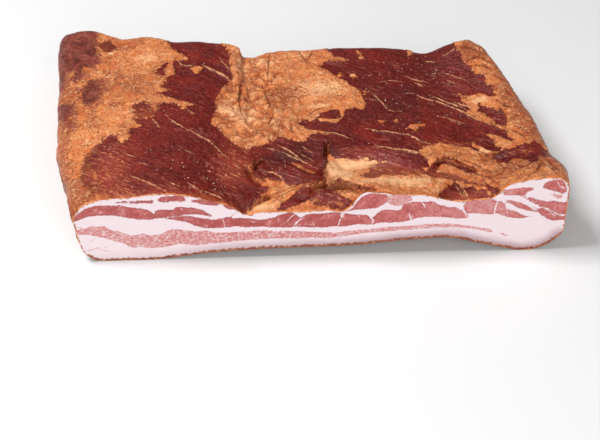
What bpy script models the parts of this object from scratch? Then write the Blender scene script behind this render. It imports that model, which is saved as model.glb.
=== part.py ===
"""A slab of cold-smoked bacon: one piece of cured pork belly, cut straight at the front.

The slab lies rind down, +Z up, with its origin under the middle of its box.  The knife cut lies in the
plane y = CUT_Y and faces -Y.  X runs along the cut, left to right, and Y runs back over the smoked top.
The form is worked out in centimetres, as a belly is measured, and turned into Blender's metres at the end.

The piece is built as it comes to be: a block with rounded edges takes the belly's outline and thickness,
then the folds, ridges, grooves and lumps of its smoked top.
"""

import bmesh
import bpy
import numpy as np
from mathutils import Vector, noise

CM = 0.01

# --- Driving sizes, in centimetres ---------------------------------------------------------------------

CUT_Y = -7.6  # plane of the knife cut
BLOCK_LENGTH = 28.0
BLOCK_DEPTH = 14.6
BLOCK_THICKNESS = 4.0
EDGE_RADIUS = 0.8  # rounding of every edge but those of the cut
CELLS = (196, 104, 28)  # cells of the block along X, Y and Z before thinning
MOST_TRIANGLES = 11400  # what the thinned skin may hold

# Where the two ends stand at each y, and the back at each x, seen from above.
LEFT_END = [(-7.6, -12.6), (-6.4, -12.95), (-5.3, -13.15), (-4.5, -13.45), (-1.7, -13.95), (1.9, -14.25),
            (5.5, -14.6), (7.7, -14.75)]
RIGHT_END = [(-7.6, 14.55), (-6.9, 14.65), (-5.8, 14.65), (-4.7, 14.2), (-3.6, 14.1), (-1.8, 13.85),
             (0.1, 13.35), (1.75, 13.0), (2.8, 12.7), (4.4, 11.95), (5.6, 11.2)]
BACK = [(-14.7, 7.6), (-13.8, 7.65), (-12.0, 7.6), (-10.6, 7.4), (-9.3, 7.35), (-7.7, 7.15), (-5.5, 6.95),
        (-4.0, 6.75), (-3.4, 6.5), (-3.15, 6.2), (-1.6, 6.4), (0.0, 6.5), (2.6, 6.5), (5.6, 6.45),
        (8.1, 6.2), (9.6, 6.2), (11.4, 5.9)]
LEFT_TUCK = 0.35  # how far the left end draws in towards the rind
RIGHT_SPREAD = 0.15  # and how far the right end reaches out
MIDDLE = (0.09, 0.04)  # middle of the slab's box as these sizes are measured, which becomes its origin

# Height of the top just behind the cut, across the middle and along the back, from left to right.
TOP_AT_FRONT = [(-12.5, 4.65), (-11.2, 4.8), (-9.5, 4.95), (-7.8, 5.1), (-6.2, 4.9), (-4.9, 4.5),
                (-3.8, 4.1), (-2.3, 3.65), (1.0, 3.7), (2.6, 3.9), (4.0, 4.2), (6.6, 4.3), (8.6, 4.1),
                (10.4, 4.5), (12.0, 5.3), (14.4, 5.5)]
TOP_AT_MIDDLE = [(-14.1, 4.3), (-9.2, 4.75), (-6.2, 4.6), (-3.2, 3.9), (-0.2, 3.9), (2.8, 4.0), (5.8, 4.05),
                 (8.8, 3.9), (11.8, 4.2), (13.6, 4.5)]
TOP_AT_BACK = [(-14.7, 4.7), (-12.6, 5.1), (-10.6, 4.6), (-9.3, 4.8), (-7.4, 4.55), (-5.6, 4.62),
               (-3.9, 4.35), (-3.0, 4.05), (-1.4, 4.15), (1.4, 4.1), (3.0, 4.3), (6.8, 4.25), (8.2, 3.95),
               (9.8, 5.0), (11.2, 5.62)]
MIDDLE_SHARE = 0.46  # how far back the middle line lies

# The top edge of the cut itself, with its notch and its two steps.
CUT_EDGE = [(-12.5, 3.9), (-11.9, 4.35), (-11.2, 4.65), (-9.5, 4.88), (-7.8, 5.07), (-6.2, 4.9),
            (-4.9, 4.5), (-3.8, 3.95), (-3.2, 3.42), (-2.3, 3.5), (-1.2, 3.48), (1.3, 3.52), (2.6, 3.72),
            (3.1, 4.6), (4.2, 4.78), (5.2, 4.6), (6.9, 4.44), (8.2, 4.05), (9.4, 4.09), (10.6, 4.35),
            (11.0, 4.87), (11.9, 5.34), (12.8, 5.53), (14.4, 5.5)]
EDGE_REACH = 0.35  # how far behind the cut its own edge is felt

# The rind arches clear of the board under the cut and lies flat behind it.
ARCH_AT_CUT = [(-12.5, 0.35), (-11.8, 0.1), (-11.0, 0.0), (-8.6, 0.0), (-5.1, 0.47), (-1.2, 0.68),
               (2.7, 0.75), (6.5, 1.12), (8.5, 1.14), (9.6, 0.8), (11.1, 0.35), (12.5, 0.0), (13.4, 0.15),
               (14.4, 0.8)]
ARCH_DEPTH = 9.0

# Folds: a lip with the raised meat on the left hand of its course, and a crease before it.
FOLDS = {
    "fat_flap": dict(
        lip=[(2.1, -4.0), (1.6, -4.4), (1.4, -4.9), (1.6, -5.5), (2.3, -6.1), (3.2, -6.8), (4.4, -7.3),
             (5.6, -7.6)],
        lift=0.45, run=1.1, crease=0.35,
    ),
    "left_mass": dict(
        lip=[(-3.1, -7.6), (-2.7, -7.1), (-2.1, -6.7), (-1.95, -6.4), (-2.3, -6.0), (-2.9, -5.3),
             (-3.4, -4.0)],
        lift=0.3, run=1.3, crease=0.12,
    ),
    "back_step": dict(
        lip=[(-3.0, -2.0), (-3.0, 0.4), (-3.0, 2.4), (-3.3, 3.8), (-3.3, 5.6), (-3.3, 7.4)],
        lift=0.15, run=1.5, crease=0.06,
    ),
    "back_corner": dict(
        lip=[(-3.3, 3.6), (-3.3, 5.6), (-3.3, 8.8)],
        lift=0.18, run=0.9, crease=0.08,
    ),
    "curl": dict(
        lip=[(7.4, -4.8), (7.7, -4.3), (8.2, -4.1), (8.8, -4.4), (9.4, -5.0), (10.3, -5.4)],
        lift=0.2, run=0.7, crease=0.15,
    ),
}

# Ridges: rounded strips of meat.
RIDGES = {
    "lean_strip": dict(
        line=[(1.6, -3.2), (3.4, -3.5), (5.1, -4.1), (6.2, -4.6), (7.3, -5.0)],
        width=0.55, height=0.3,
    ),
    "tongue": dict(
        line=[(-2.8, -4.6), (-1.4, -4.6), (-0.5, -5.0), (0.4, -5.4), (1.1, -5.7)],
        width=0.55, height=0.28,
    ),
    "front_mound": dict(
        line=[(-0.2, -6.9), (0.8, -6.7), (1.7, -6.7), (2.6, -7.1), (3.2, -7.4)],
        width=0.45, height=0.3,
    ),
    "light_lip": dict(
        line=[(9.6, -2.7), (10.0, -3.3), (10.6, -3.8), (11.6, -3.8)],
        width=0.3, height=0.14,
    ),
    "right_rim": dict(
        line=[(11.0, 5.4), (11.7, 3.2), (12.5, 0.4), (13.3, -2.6)],
        width=0.9, height=0.22,
    ),
}

# Grooves: creases between one piece of meat and the next.
GROOVES = {
    "notch": dict(
        line=[(-3.2, -8.2), (-3.0, -7.3), (-2.3, -6.8), (-1.5, -6.5)],
        width=0.25, depth=0.3,
    ),
    "under_flap": dict(
        line=[(2.6, -6.5), (1.6, -5.9), (1.0, -6.1), (0.5, -6.5), (-0.1, -7.1)],
        width=0.28, depth=0.4,
    ),
    "slit": dict(
        line=[(1.6, -2.3), (1.5, -3.0), (1.5, -3.9)],
        width=0.15, depth=0.35,
    ),
    "tongue_tip": dict(
        line=[(-1.9, -3.7), (-2.5, -3.9), (-2.8, -4.5), (-2.6, -5.0), (-2.1, -5.3), (-1.4, -5.4)],
        width=0.2, depth=0.35,
    ),
    "under_strip": dict(
        line=[(1.6, -4.0), (3.2, -4.1), (4.6, -4.4), (5.9, -5.0), (7.2, -5.4)],
        width=0.22, depth=0.15,
    ),
    "behind_light_lip": dict(
        line=[(10.1, -2.8), (10.7, -3.2), (11.5, -3.3)],
        width=0.3, depth=0.18,
    ),
    "right_hollow": dict(
        line=[(10.2, -4.3), (11.4, -4.5), (12.9, -4.3)],
        width=0.5, depth=0.2,
    ),
}

# The lumpy fat in the middle of the top, and how coarse and deep its lumps are.
LUMPY_CENTRE = (-1.5, 1.8)
LUMPY_REACH = (2.6, 4.4)
LUMP_SIZE = 1.0
LUMP_DEPTH = 0.08
WAVE_SIZE = 2.4  # slow unevenness of the whole skin
WAVE_DEPTH = 0.08


# --- Helpers -------------------------------------------------------------------------------------------


def smooth_curve(points):
    """A function that runs smoothly through (t, value) points and stays level past the ends."""
    t, value = np.array(points, float).T
    slope = np.gradient(value, t)

    def at(where):
        where = np.clip(where, t[0], t[-1])
        i = np.clip(np.searchsorted(t, where) - 1, 0, len(t) - 2)
        gap = t[i + 1] - t[i]
        u = (where - t[i]) / gap
        blend = u * u * (3 - 2 * u)
        leave, arrive = u * (1 - u) ** 2, u * u * (u - 1)
        tilt = gap * (leave * slope[i] + arrive * slope[i + 1])
        return value[i] + blend * (value[i + 1] - value[i]) + tilt

    return at


def smooth_path(points, steps=6):
    """The same (x, y) points with a rounded course between them."""
    stations = np.arange(len(points))
    fine = np.linspace(0, len(points) - 1, steps * (len(points) - 1) + 1)
    return np.stack([smooth_curve(list(zip(stations, axis)))(fine) for axis in zip(*points)], axis=1)


def beside(path, x, y):
    """For each (x, y): its signed distance from the path, positive to the left, and its share along it."""
    nearest = np.full(x.shape, np.inf)
    side = np.zeros(x.shape)
    share = np.zeros(x.shape)
    for i, (start, end) in enumerate(zip(path[:-1], path[1:])):
        step = end - start
        off_x, off_y = x - start[0], y - start[1]
        t = np.clip((off_x * step[0] + off_y * step[1]) / (step @ step), 0, 1)
        away = np.hypot(off_x - t * step[0], off_y - t * step[1])
        closer = away < nearest
        nearest = np.where(closer, away, nearest)
        side = np.where(closer, np.sign(step[0] * off_y - step[1] * off_x), side)
        share = np.where(closer, (i + t) / (len(path) - 1), share)
    return nearest * side, share


def ease(value, low, high):
    """0 below low, 1 above high and smooth between."""
    t = np.clip((value - low) / (high - low), 0, 1)
    return t * t * (3 - 2 * t)


def bell(offset, width):
    """1 on a line and 0 well away from it."""
    return np.exp(-((offset / width) ** 2))


def both_ends(share, reach):
    """1 along a line and 0 at its two ends."""
    return ease(share, 0, reach) * ease(1 - share, 0, reach)


def lump(place):
    """0 in the crease between lumps and 1 on top of one."""
    nearest, next_one = noise.voronoi(place)[0][:2]
    return min(1.0, 2.2 * (next_one - nearest))


def noise_at(points, size, kind=noise.noise):
    """Noise of that size, in centimetres, at each point."""
    return np.array([kind(Vector(p) / size) for p in points])


# --- The form ------------------------------------------------------------------------------------------


def base_height(x, y):
    """Height of the top without its folds: three profiles blended from the cut to the back."""
    share = (y - CUT_Y) / BLOCK_DEPTH
    at_front = (share - MIDDLE_SHARE) * (share - 1) / MIDDLE_SHARE
    at_middle = share * (share - 1) / (MIDDLE_SHARE * (MIDDLE_SHARE - 1))
    at_back = share * (share - MIDDLE_SHARE) / (1 - MIDDLE_SHARE)
    return (
        at_front * smooth_curve(TOP_AT_FRONT)(x)
        + at_middle * smooth_curve(TOP_AT_MIDDLE)(x)
        + at_back * smooth_curve(TOP_AT_BACK)(x)
    )


def fold_height(x, y, lip, lift, run, crease):
    side, along = beside(smooth_path(lip), x, y)
    raised = lift * bell(np.maximum(side, 0), run) * ease(side, -0.08, 0.12)
    sunk = crease * bell(side + 0.18, 0.2)
    return (raised - sunk) * both_ends(along, 0.15)


def ridge_height(x, y, line, width, height):
    side, along = beside(smooth_path(line), x, y)
    return height * np.exp(-((side / width) ** 4)) * both_ends(along, 0.15)


def groove_height(x, y, line, width, depth):
    side, along = beside(smooth_path(line), x, y)
    return -depth * bell(side, width) * both_ends(along, 0.1)


def top_height(x, y):
    """Height of the smoked top above the board, with its folds but not its lumps."""
    height = base_height(x, y)
    height += sum(fold_height(x, y, **fold) for fold in FOLDS.values())
    height += sum(ridge_height(x, y, **ridge) for ridge in RIDGES.values())
    height += sum(groove_height(x, y, **groove) for groove in GROOVES.values())
    at_cut = bell(y - CUT_Y, EDGE_REACH)
    return height + at_cut * (smooth_curve(CUT_EDGE)(x) - height)


def underside_height(x, y):
    """Height of the rind above the board."""
    arch = np.maximum(smooth_curve(ARCH_AT_CUT)(x), 0)
    return arch * (1 - ease(y, CUT_Y, CUT_Y + ARCH_DEPTH))


def rounded_block(lattice):
    """Corners in [-1, 1] to shares of the block's sizes, with every edge rounded but those of the cut."""
    half = np.array([BLOCK_LENGTH, BLOCK_DEPTH, BLOCK_THICKNESS]) / 2
    place = lattice * half
    inner = half - EDGE_RADIUS
    core = np.clip(place, -inner, inner)
    core[:, 1] = np.minimum(place[:, 1], inner[1])  # the cut keeps its corners
    out = place - core
    square = np.abs(out).max(axis=1)
    circle = np.linalg.norm(out, axis=1)
    out *= np.divide(square, circle, out=np.ones_like(circle), where=circle > 0)[:, None]
    return ((core + out) / half + 1) / 2


def slab_points(lattice):
    """Each lattice corner's place on the slab, in centimetres."""
    across, back, up = rounded_block(lattice).T
    first, last = BACK[0][0], BACK[-1][0]
    y = CUT_Y + back * (smooth_curve(BACK)(first + across * (last - first)) - CUT_Y)
    left = smooth_curve(LEFT_END)(y) + LEFT_TUCK * (1 - up) ** 2
    right = smooth_curve(RIGHT_END)(y) + RIGHT_SPREAD * (1 - up)
    x = left + across * (right - left)
    bottom = underside_height(x, y)
    z = bottom + up * (top_height(x, y) - bottom)
    return np.stack([x, y, z], axis=1)


def unevenness(points, normals, lattice):
    """How far each point moves along its normal: slow waves all over, and lumps on the bare fat."""
    wave = noise_at(points, WAVE_SIZE) + 0.5 * noise_at(points, WAVE_SIZE / 2.3)
    off_x = (points[:, 0] - LUMPY_CENTRE[0]) / LUMPY_REACH[0]
    off_y = (points[:, 1] - LUMPY_CENTRE[1]) / LUMPY_REACH[1]
    lumpy = (1 - ease(np.hypot(off_x, off_y), 0.7, 1.15)) * ease(normals[:, 2], 0.2, 0.6)
    lumps = noise_at(points * [1, 1, 0], LUMP_SIZE, lump)
    above_rind = ease(lattice[:, 2], -1, 0)
    return above_rind * (WAVE_DEPTH * wave + LUMP_DEPTH * lumpy * (lumps - 0.6))


# --- Building ------------------------------------------------------------------------------------------


def block_lattice():
    """A cube whose faces are divided into CELLS, with its corners at -1 and 1."""
    lattice = bmesh.new()
    bmesh.ops.create_cube(lattice, size=2)
    for axis, cells in enumerate(CELLS):
        edges = [e for e in lattice.edges if abs(e.verts[0].co[axis] - e.verts[1].co[axis]) > 1]
        bmesh.ops.subdivide_edges(lattice, edges=edges, cuts=cells - 1, use_grid_fill=True)
    return lattice


def move_to(lattice, points):
    for vertex, place in zip(lattice.verts, points):
        vertex.co = place
    lattice.normal_update()


def cured_meat():
    """Smoked crust, the colour that shows most from outside."""
    material = bpy.data.materials.new("cured_meat")
    material.use_nodes = True
    shader = material.node_tree.nodes["Principled BSDF"]
    shader.inputs["Base Color"].default_value = (0.36, 0.13, 0.06, 1)
    shader.inputs["Roughness"].default_value = 0.45
    return material


def build_slab():
    lattice = block_lattice()
    corners = np.array([v.co for v in lattice.verts])
    points = slab_points(corners)
    move_to(lattice, points)
    normals = np.array([v.normal for v in lattice.verts])
    normals[:, 1] *= ease(corners[:, 1], -1, -0.97)  # the cut stays in its plane
    points += normals * unevenness(points, normals, corners)[:, None]
    move_to(lattice, (points - [*MIDDLE, 0]) * CM)

    mesh = bpy.data.meshes.new("bacon_slab")
    lattice.to_mesh(mesh)
    lattice.free()
    mesh.materials.append(cured_meat())
    mesh.shade_smooth()
    mesh.set_sharp_from_angle(angle=np.radians(50))
    slab = bpy.data.objects.new("bacon_slab", mesh)
    bpy.context.scene.collection.objects.link(slab)

    thin = slab.modifiers.new("thin_out", "DECIMATE")
    thin.ratio = MOST_TRIANGLES / (2 * len(mesh.polygons))
    thin.use_collapse_triangulate = True


for leftover in list(bpy.data.objects):
    bpy.data.objects.remove(leftover)
build_slab()
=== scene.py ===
# %% [markdown]
# # A slab of cold-smoked bacon
#
# The real thing is one piece of cured pork belly.  Smoke has browned its top and sides into a glossy crust,
# where dark red lean shows between sheets of tan fat, and a knife has cut the front straight, so that the
# pale layers of fat and lean can be seen.  The underside is rind.
#
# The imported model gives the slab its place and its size.  The slab is worked out in centimetres, as it was
# measured, and turned into Blender's metres when its skin is finished.  Camera, floor and lights are in
# metres.

from functools import partialmethod

import bpy
import numpy as np
from mathutils import Euler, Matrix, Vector, noise
from mathutils.bvhtree import BVHTree


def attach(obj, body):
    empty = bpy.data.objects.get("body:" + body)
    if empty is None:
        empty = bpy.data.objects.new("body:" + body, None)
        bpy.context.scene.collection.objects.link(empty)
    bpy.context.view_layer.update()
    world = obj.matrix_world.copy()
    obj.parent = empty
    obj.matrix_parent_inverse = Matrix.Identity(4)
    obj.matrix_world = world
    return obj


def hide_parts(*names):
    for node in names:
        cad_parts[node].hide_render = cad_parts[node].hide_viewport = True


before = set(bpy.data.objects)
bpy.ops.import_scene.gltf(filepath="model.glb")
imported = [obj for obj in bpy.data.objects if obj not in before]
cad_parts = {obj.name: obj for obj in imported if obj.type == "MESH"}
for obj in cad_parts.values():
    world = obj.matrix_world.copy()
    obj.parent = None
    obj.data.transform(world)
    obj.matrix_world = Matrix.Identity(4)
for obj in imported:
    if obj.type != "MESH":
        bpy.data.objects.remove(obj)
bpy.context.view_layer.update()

NOISE_SEED = 7
noise.seed_set(NOISE_SEED)  # otherwise the noise that pushes places about is another one each time
CM = 0.01
MIDDLE = (0.09, 0.04)  # the middle of the slab's box, in the centimetres that it was measured in

# %% [markdown]
# ## The camera comes first
#
# Marks on the meat, such as the edge of a patch of fat, are easiest to read straight off the photograph, in
# its pixels.  A ray from the camera through such a pixel then finds the place on the slab.  So the camera
# is set up before anything else, and every mark below is a short outline in pixels of the 600 x 440
# photograph.

# %% The camera
PHOTO_SIZE = (600, 440)
SENSOR_MM = 36
LENS_MM = 76.05
CAMERA_PLACE = (-0.0205, -0.5704, 0.5230)
CAMERA_TURN = Euler(np.radians((45, 0, -2.1)))

camera_data = bpy.data.cameras.new("photo_camera")
camera_data.lens, camera_data.sensor_width = LENS_MM, SENSOR_MM
camera = bpy.data.objects.new("photo_camera", camera_data)
camera.location, camera.rotation_euler = CAMERA_PLACE, CAMERA_TURN
bpy.context.scene.collection.objects.link(camera)
bpy.context.scene.camera = camera
print("camera with a lens of", LENS_MM, "mm at", CAMERA_PLACE, "m")

PIXELS_DEEP = PHOTO_SIZE[0] * LENS_MM / SENSOR_MM  # distance of the photograph's plane, in its own pixels
EYE = np.array(CAMERA_PLACE) / CM + [*MIDDLE, 0]


def sight_lines(pixels):
    """Directions from the camera through these pixels of the photograph."""
    u, v = np.array(pixels, float).T
    right, up = u + 0.5 - PHOTO_SIZE[0] / 2, PHOTO_SIZE[1] / 2 - v - 0.5
    seen = np.stack([right, up, np.full(len(u), -PIXELS_DEEP)], axis=1)
    return seen @ np.array(CAMERA_TURN.to_matrix()).T


# %% [markdown]
# ## Curves as functions
#
# Profiles of the slab and the courses of its folds are short lists of measured points.  These helpers run a
# smooth curve through such a list, measure how far a place lies from it, and make the soft steps and bells
# that turn a distance into a height.

# %% Curve helpers
def smooth_curve(points):
    """A function that runs smoothly through (t, value) points and stays level past the ends."""
    t, value = np.array(points, float).T
    slope = np.gradient(value, t)

    def at(where):
        where = np.clip(where, t[0], t[-1])
        i = np.clip(np.searchsorted(t, where) - 1, 0, len(t) - 2)
        gap = t[i + 1] - t[i]
        u = (where - t[i]) / gap
        blend = u * u * (3 - 2 * u)
        leave, arrive = u * (1 - u) ** 2, u * u * (u - 1)
        return value[i] + blend * (value[i + 1] - value[i]) + gap * (leave * slope[i] + arrive * slope[i + 1])

    return at


def smooth_path(points, steps=6):
    """The same (x, y) points with a rounded course between them."""
    stations = np.arange(len(points))
    fine = np.linspace(0, len(points) - 1, steps * (len(points) - 1) + 1)
    return np.stack([smooth_curve(list(zip(stations, axis)))(fine) for axis in zip(*points)], axis=1)


def beside(path, x, y):
    """For each (x, y): its signed distance from the path, positive to the left, and its share along it."""
    nearest = np.full(x.shape, np.inf)
    side = np.zeros(x.shape)
    share = np.zeros(x.shape)
    for i, (start, end) in enumerate(zip(path[:-1], path[1:])):
        step = end - start
        off_x, off_y = x - start[0], y - start[1]
        t = np.clip((off_x * step[0] + off_y * step[1]) / (step @ step), 0, 1)
        away = np.hypot(off_x - t * step[0], off_y - t * step[1])
        closer = away < nearest
        nearest = np.where(closer, away, nearest)
        side = np.where(closer, np.sign(step[0] * off_y - step[1] * off_x), side)
        share = np.where(closer, (i + t) / (len(path) - 1), share)
    return nearest * side, share


def ease(value, low, high):
    """0 below low, 1 above high and smooth between."""
    t = np.clip((value - low) / (high - low), 0, 1)
    return t * t * (3 - 2 * t)


def bell(offset, width):
    """1 on a line and 0 well away from it."""
    return np.exp(-((offset / width) ** 2))


def both_ends(share, reach):
    """1 along a line and 0 at its two ends."""
    return ease(share, 0, reach) * ease(1 - share, 0, reach)


def noise_at(points, size, kind=noise.noise):
    """Noise of that size, in centimetres, at each point."""
    return np.array([kind(Vector(p)) for p in points / size])


# %% [markdown]
# ## The slab's measured form
#
# The slab is a block with rounded edges that takes the belly's outline from above, its thickness and the
# arch of its underside.  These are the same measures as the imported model's, because the dressed slab has to
# fill the same space.  Only the mesh is denser, so that it can hold the fine relief that comes later.

# %% Measures of the block
CUT_Y = -7.6
BLOCK_LENGTH = 28.0
BLOCK_DEPTH = 14.6
BLOCK_THICKNESS = 4.0
EDGE_RADIUS = 0.8

LEFT_END = [(-7.6, -12.6), (-6.4, -12.95), (-5.3, -13.15), (-4.5, -13.45), (-1.7, -13.95), (1.9, -14.25),
            (5.5, -14.6), (7.7, -14.75)]
RIGHT_END = [(-7.6, 14.55), (-6.9, 14.65), (-5.8, 14.65), (-4.7, 14.2), (-3.6, 14.1), (-1.8, 13.85),
             (0.1, 13.35), (1.75, 13.0), (2.8, 12.7), (4.4, 11.95), (5.6, 11.2)]
BACK = [(-14.7, 7.6), (-13.8, 7.65), (-12.0, 7.6), (-10.6, 7.4), (-9.3, 7.35), (-7.7, 7.15), (-5.5, 6.95),
        (-4.0, 6.75), (-3.4, 6.5), (-3.15, 6.2), (-1.6, 6.4), (0.0, 6.5), (2.6, 6.5), (5.6, 6.45),
        (8.1, 6.2), (9.6, 6.2), (11.4, 5.9)]
LEFT_TUCK = 0.35
RIGHT_SPREAD = 0.15

TOP_AT_FRONT = [(-12.5, 4.65), (-11.2, 4.8), (-9.5, 4.95), (-7.8, 5.1), (-6.2, 4.9), (-4.9, 4.5), (-3.8, 4.1),
                (-2.3, 3.65), (1.0, 3.7), (2.6, 3.9), (4.0, 4.2), (6.6, 4.3), (8.6, 4.1), (10.4, 4.5),
                (12.0, 5.3), (14.4, 5.5)]
TOP_AT_MIDDLE = [(-14.1, 4.3), (-9.2, 4.75), (-6.2, 4.6), (-3.2, 3.9), (-0.2, 3.9), (2.8, 4.0), (5.8, 4.05),
                 (8.8, 3.9), (11.8, 4.2), (13.6, 4.5)]
TOP_AT_BACK = [
    (-14.7, 4.7), (-12.6, 5.1), (-10.6, 4.6), (-9.3, 4.8), (-7.4, 4.55), (-5.6, 4.62), (-3.9, 4.35),
    (-3.0, 4.05), (-1.4, 4.15), (1.4, 4.1), (3.0, 4.3), (6.8, 4.25), (8.2, 3.95), (9.8, 5.0), (11.2, 5.62),
]
MIDDLE_SHARE = 0.46

CUT_EDGE = [(-12.5, 3.9), (-11.9, 4.35), (-11.2, 4.65), (-9.5, 4.88), (-7.8, 5.07), (-6.2, 4.9), (-4.9, 4.5),
            (-3.8, 3.95), (-3.2, 3.42), (-2.3, 3.5), (-1.2, 3.48), (1.3, 3.52), (2.6, 3.72), (3.1, 4.6),
            (4.2, 4.78), (5.2, 4.6), (6.9, 4.44), (8.2, 4.05), (9.4, 4.09), (10.6, 4.35), (11.0, 4.87),
            (11.9, 5.34), (12.8, 5.53), (14.4, 5.5)]
EDGE_REACH = 0.35

ARCH_AT_CUT = [
    (-12.5, 0.35), (-11.8, 0.1), (-11.0, 0.0), (-8.6, 0.0), (-5.1, 0.47), (-1.2, 0.68), (2.7, 0.75),
    (6.5, 1.12), (8.5, 1.14), (9.6, 0.8), (11.1, 0.35), (12.5, 0.0), (13.4, 0.15), (14.4, 0.8),
]
ARCH_DEPTH = 9.0

# %% [markdown]
# Folds, ridges and grooves are what make cured meat look like meat: one muscle's edge lies over the next,
# and the skin between them sinks.  Each is a course over the top, with a height and a width.  The lips of
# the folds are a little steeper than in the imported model, because the mesh is finer.

# %% Folds, ridges and grooves
FOLDS = {
    "fat_flap": dict(
        lip=[(2.1, -4.0), (1.6, -4.4), (1.4, -4.9), (1.6, -5.5), (2.3, -6.1), (3.2, -6.8), (4.4, -7.3),
             (5.6, -7.6)],
        lift=0.45, run=1.1, crease=0.35,
    ),
    "left_mass": dict(
        lip=[(-3.1, -7.6), (-2.7, -7.1), (-2.1, -6.7), (-1.95, -6.4), (-2.3, -6.0), (-2.9, -5.3),
             (-3.4, -4.0)],
        lift=0.3, run=1.3, crease=0.12,
    ),
    "back_step": dict(
        lip=[(-3.0, -2.0), (-3.0, 0.4), (-3.0, 2.4), (-3.3, 3.8), (-3.3, 5.6), (-3.3, 7.4)],
        lift=0.15, run=1.5, crease=0.06,
    ),
    "back_corner": dict(
        lip=[(-3.3, 3.6), (-3.3, 5.6), (-3.3, 8.8)],
        lift=0.18, run=0.9, crease=0.08,
    ),
    "curl": dict(
        lip=[(7.4, -4.8), (7.7, -4.3), (8.2, -4.1), (8.8, -4.4), (9.4, -5.0), (10.3, -5.4)],
        lift=0.2, run=0.7, crease=0.15,
    ),
}
RIDGES = {
    "lean_strip": dict(
        line=[(1.6, -3.2), (3.4, -3.5), (5.1, -4.1), (6.2, -4.6), (7.3, -5.0)],
        width=0.55, height=0.3,
    ),
    "tongue": dict(
        line=[(-2.8, -4.6), (-1.4, -4.6), (-0.5, -5.0), (0.4, -5.4), (1.1, -5.7)],
        width=0.55, height=0.28,
    ),
    "front_mound": dict(
        line=[(-0.2, -6.9), (0.8, -6.7), (1.7, -6.7), (2.6, -7.1), (3.2, -7.4)],
        width=0.45, height=0.3,
    ),
    "light_lip": dict(
        line=[(9.6, -2.7), (10.0, -3.3), (10.6, -3.8), (11.6, -3.8)],
        width=0.3, height=0.14,
    ),
    "right_rim": dict(
        line=[(11.0, 5.4), (11.7, 3.2), (12.5, 0.4), (13.3, -2.6)],
        width=0.9, height=0.22,
    ),
}
GROOVES = {
    "notch": dict(
        line=[(-3.2, -8.2), (-3.0, -7.3), (-2.3, -6.8), (-1.5, -6.5)],
        width=0.25, depth=0.3,
    ),
    "under_flap": dict(
        line=[(2.6, -6.5), (1.6, -5.9), (1.0, -6.1), (0.5, -6.5), (-0.1, -7.1)],
        width=0.28, depth=0.4,
    ),
    "slit": dict(
        line=[(1.6, -2.3), (1.5, -3.0), (1.5, -3.9)],
        width=0.15, depth=0.35,
    ),
    "tongue_tip": dict(
        line=[(-1.9, -3.7), (-2.5, -3.9), (-2.8, -4.5), (-2.6, -5.0), (-2.1, -5.3), (-1.4, -5.4)],
        width=0.2, depth=0.35,
    ),
    "under_strip": dict(
        line=[(1.6, -4.0), (3.2, -4.1), (4.6, -4.4), (5.9, -5.0), (7.2, -5.4)],
        width=0.22, depth=0.15,
    ),
    "behind_light_lip": dict(
        line=[(10.1, -2.8), (10.7, -3.2), (11.5, -3.3)],
        width=0.3, depth=0.18,
    ),
    "right_hollow": dict(
        line=[(10.2, -4.3), (11.4, -4.5), (12.9, -4.3)],
        width=0.5, depth=0.2,
    ),
}
LIP_FOOT, LIP_HEAD = -0.05, 0.08  # a fold rises between these distances from its lip
CREASE_OFF, CREASE_WIDTH = 0.15, 0.17  # how far the crease lies outside the lip, and its width
FOLD_FADE = 0.15  # the share of its course over which a fold or a ridge fades at each end
GROOVE_FADE = 0.1
print(len(FOLDS), "folds,", len(RIDGES), "ridges and", len(GROOVES), "grooves")


# %% The height of the top and of the underside
def base_height(x, y):
    """Height of the top without its folds: three profiles blended from the cut to the back."""
    share = (y - CUT_Y) / BLOCK_DEPTH
    at_front = (share - MIDDLE_SHARE) * (share - 1) / MIDDLE_SHARE
    at_middle = share * (share - 1) / (MIDDLE_SHARE * (MIDDLE_SHARE - 1))
    at_back = share * (share - MIDDLE_SHARE) / (1 - MIDDLE_SHARE)
    return (
        at_front * smooth_curve(TOP_AT_FRONT)(x)
        + at_middle * smooth_curve(TOP_AT_MIDDLE)(x)
        + at_back * smooth_curve(TOP_AT_BACK)(x)
    )


def fold_height(x, y, lip, lift, run, crease):
    """One fold: raised on the left of its lip, with a crease on the right."""
    side, along = beside(smooth_path(lip), x, y)
    raised = lift * bell(np.maximum(side, 0), run) * ease(side, LIP_FOOT, LIP_HEAD)
    sunk = crease * bell(side + CREASE_OFF, CREASE_WIDTH)
    return (raised - sunk) * both_ends(along, FOLD_FADE)


def ridge_height(x, y, line, width, height):
    """One rounded ridge along a line."""
    side, along = beside(smooth_path(line), x, y)
    return height * np.exp(-((side / width) ** 4)) * both_ends(along, FOLD_FADE)


def groove_height(x, y, line, width, depth):
    """One groove along a line."""
    side, along = beside(smooth_path(line), x, y)
    return -depth * bell(side, width) * both_ends(along, GROOVE_FADE)


def top_height(x, y):
    """Height of the smoked top above the board, with its folds but not its fine relief."""
    height = base_height(x, y)
    height += sum(fold_height(x, y, **fold) for fold in FOLDS.values())
    height += sum(ridge_height(x, y, **ridge) for ridge in RIDGES.values())
    height += sum(groove_height(x, y, **groove) for groove in GROOVES.values())
    at_cut = bell(y - CUT_Y, EDGE_REACH)
    return height + at_cut * (smooth_curve(CUT_EDGE)(x) - height)


def underside_height(x, y):
    """Height of the rind above the board."""
    arch = np.maximum(smooth_curve(ARCH_AT_CUT)(x), 0)
    return arch * (1 - ease(y, CUT_Y, CUT_Y + ARCH_DEPTH))


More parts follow.
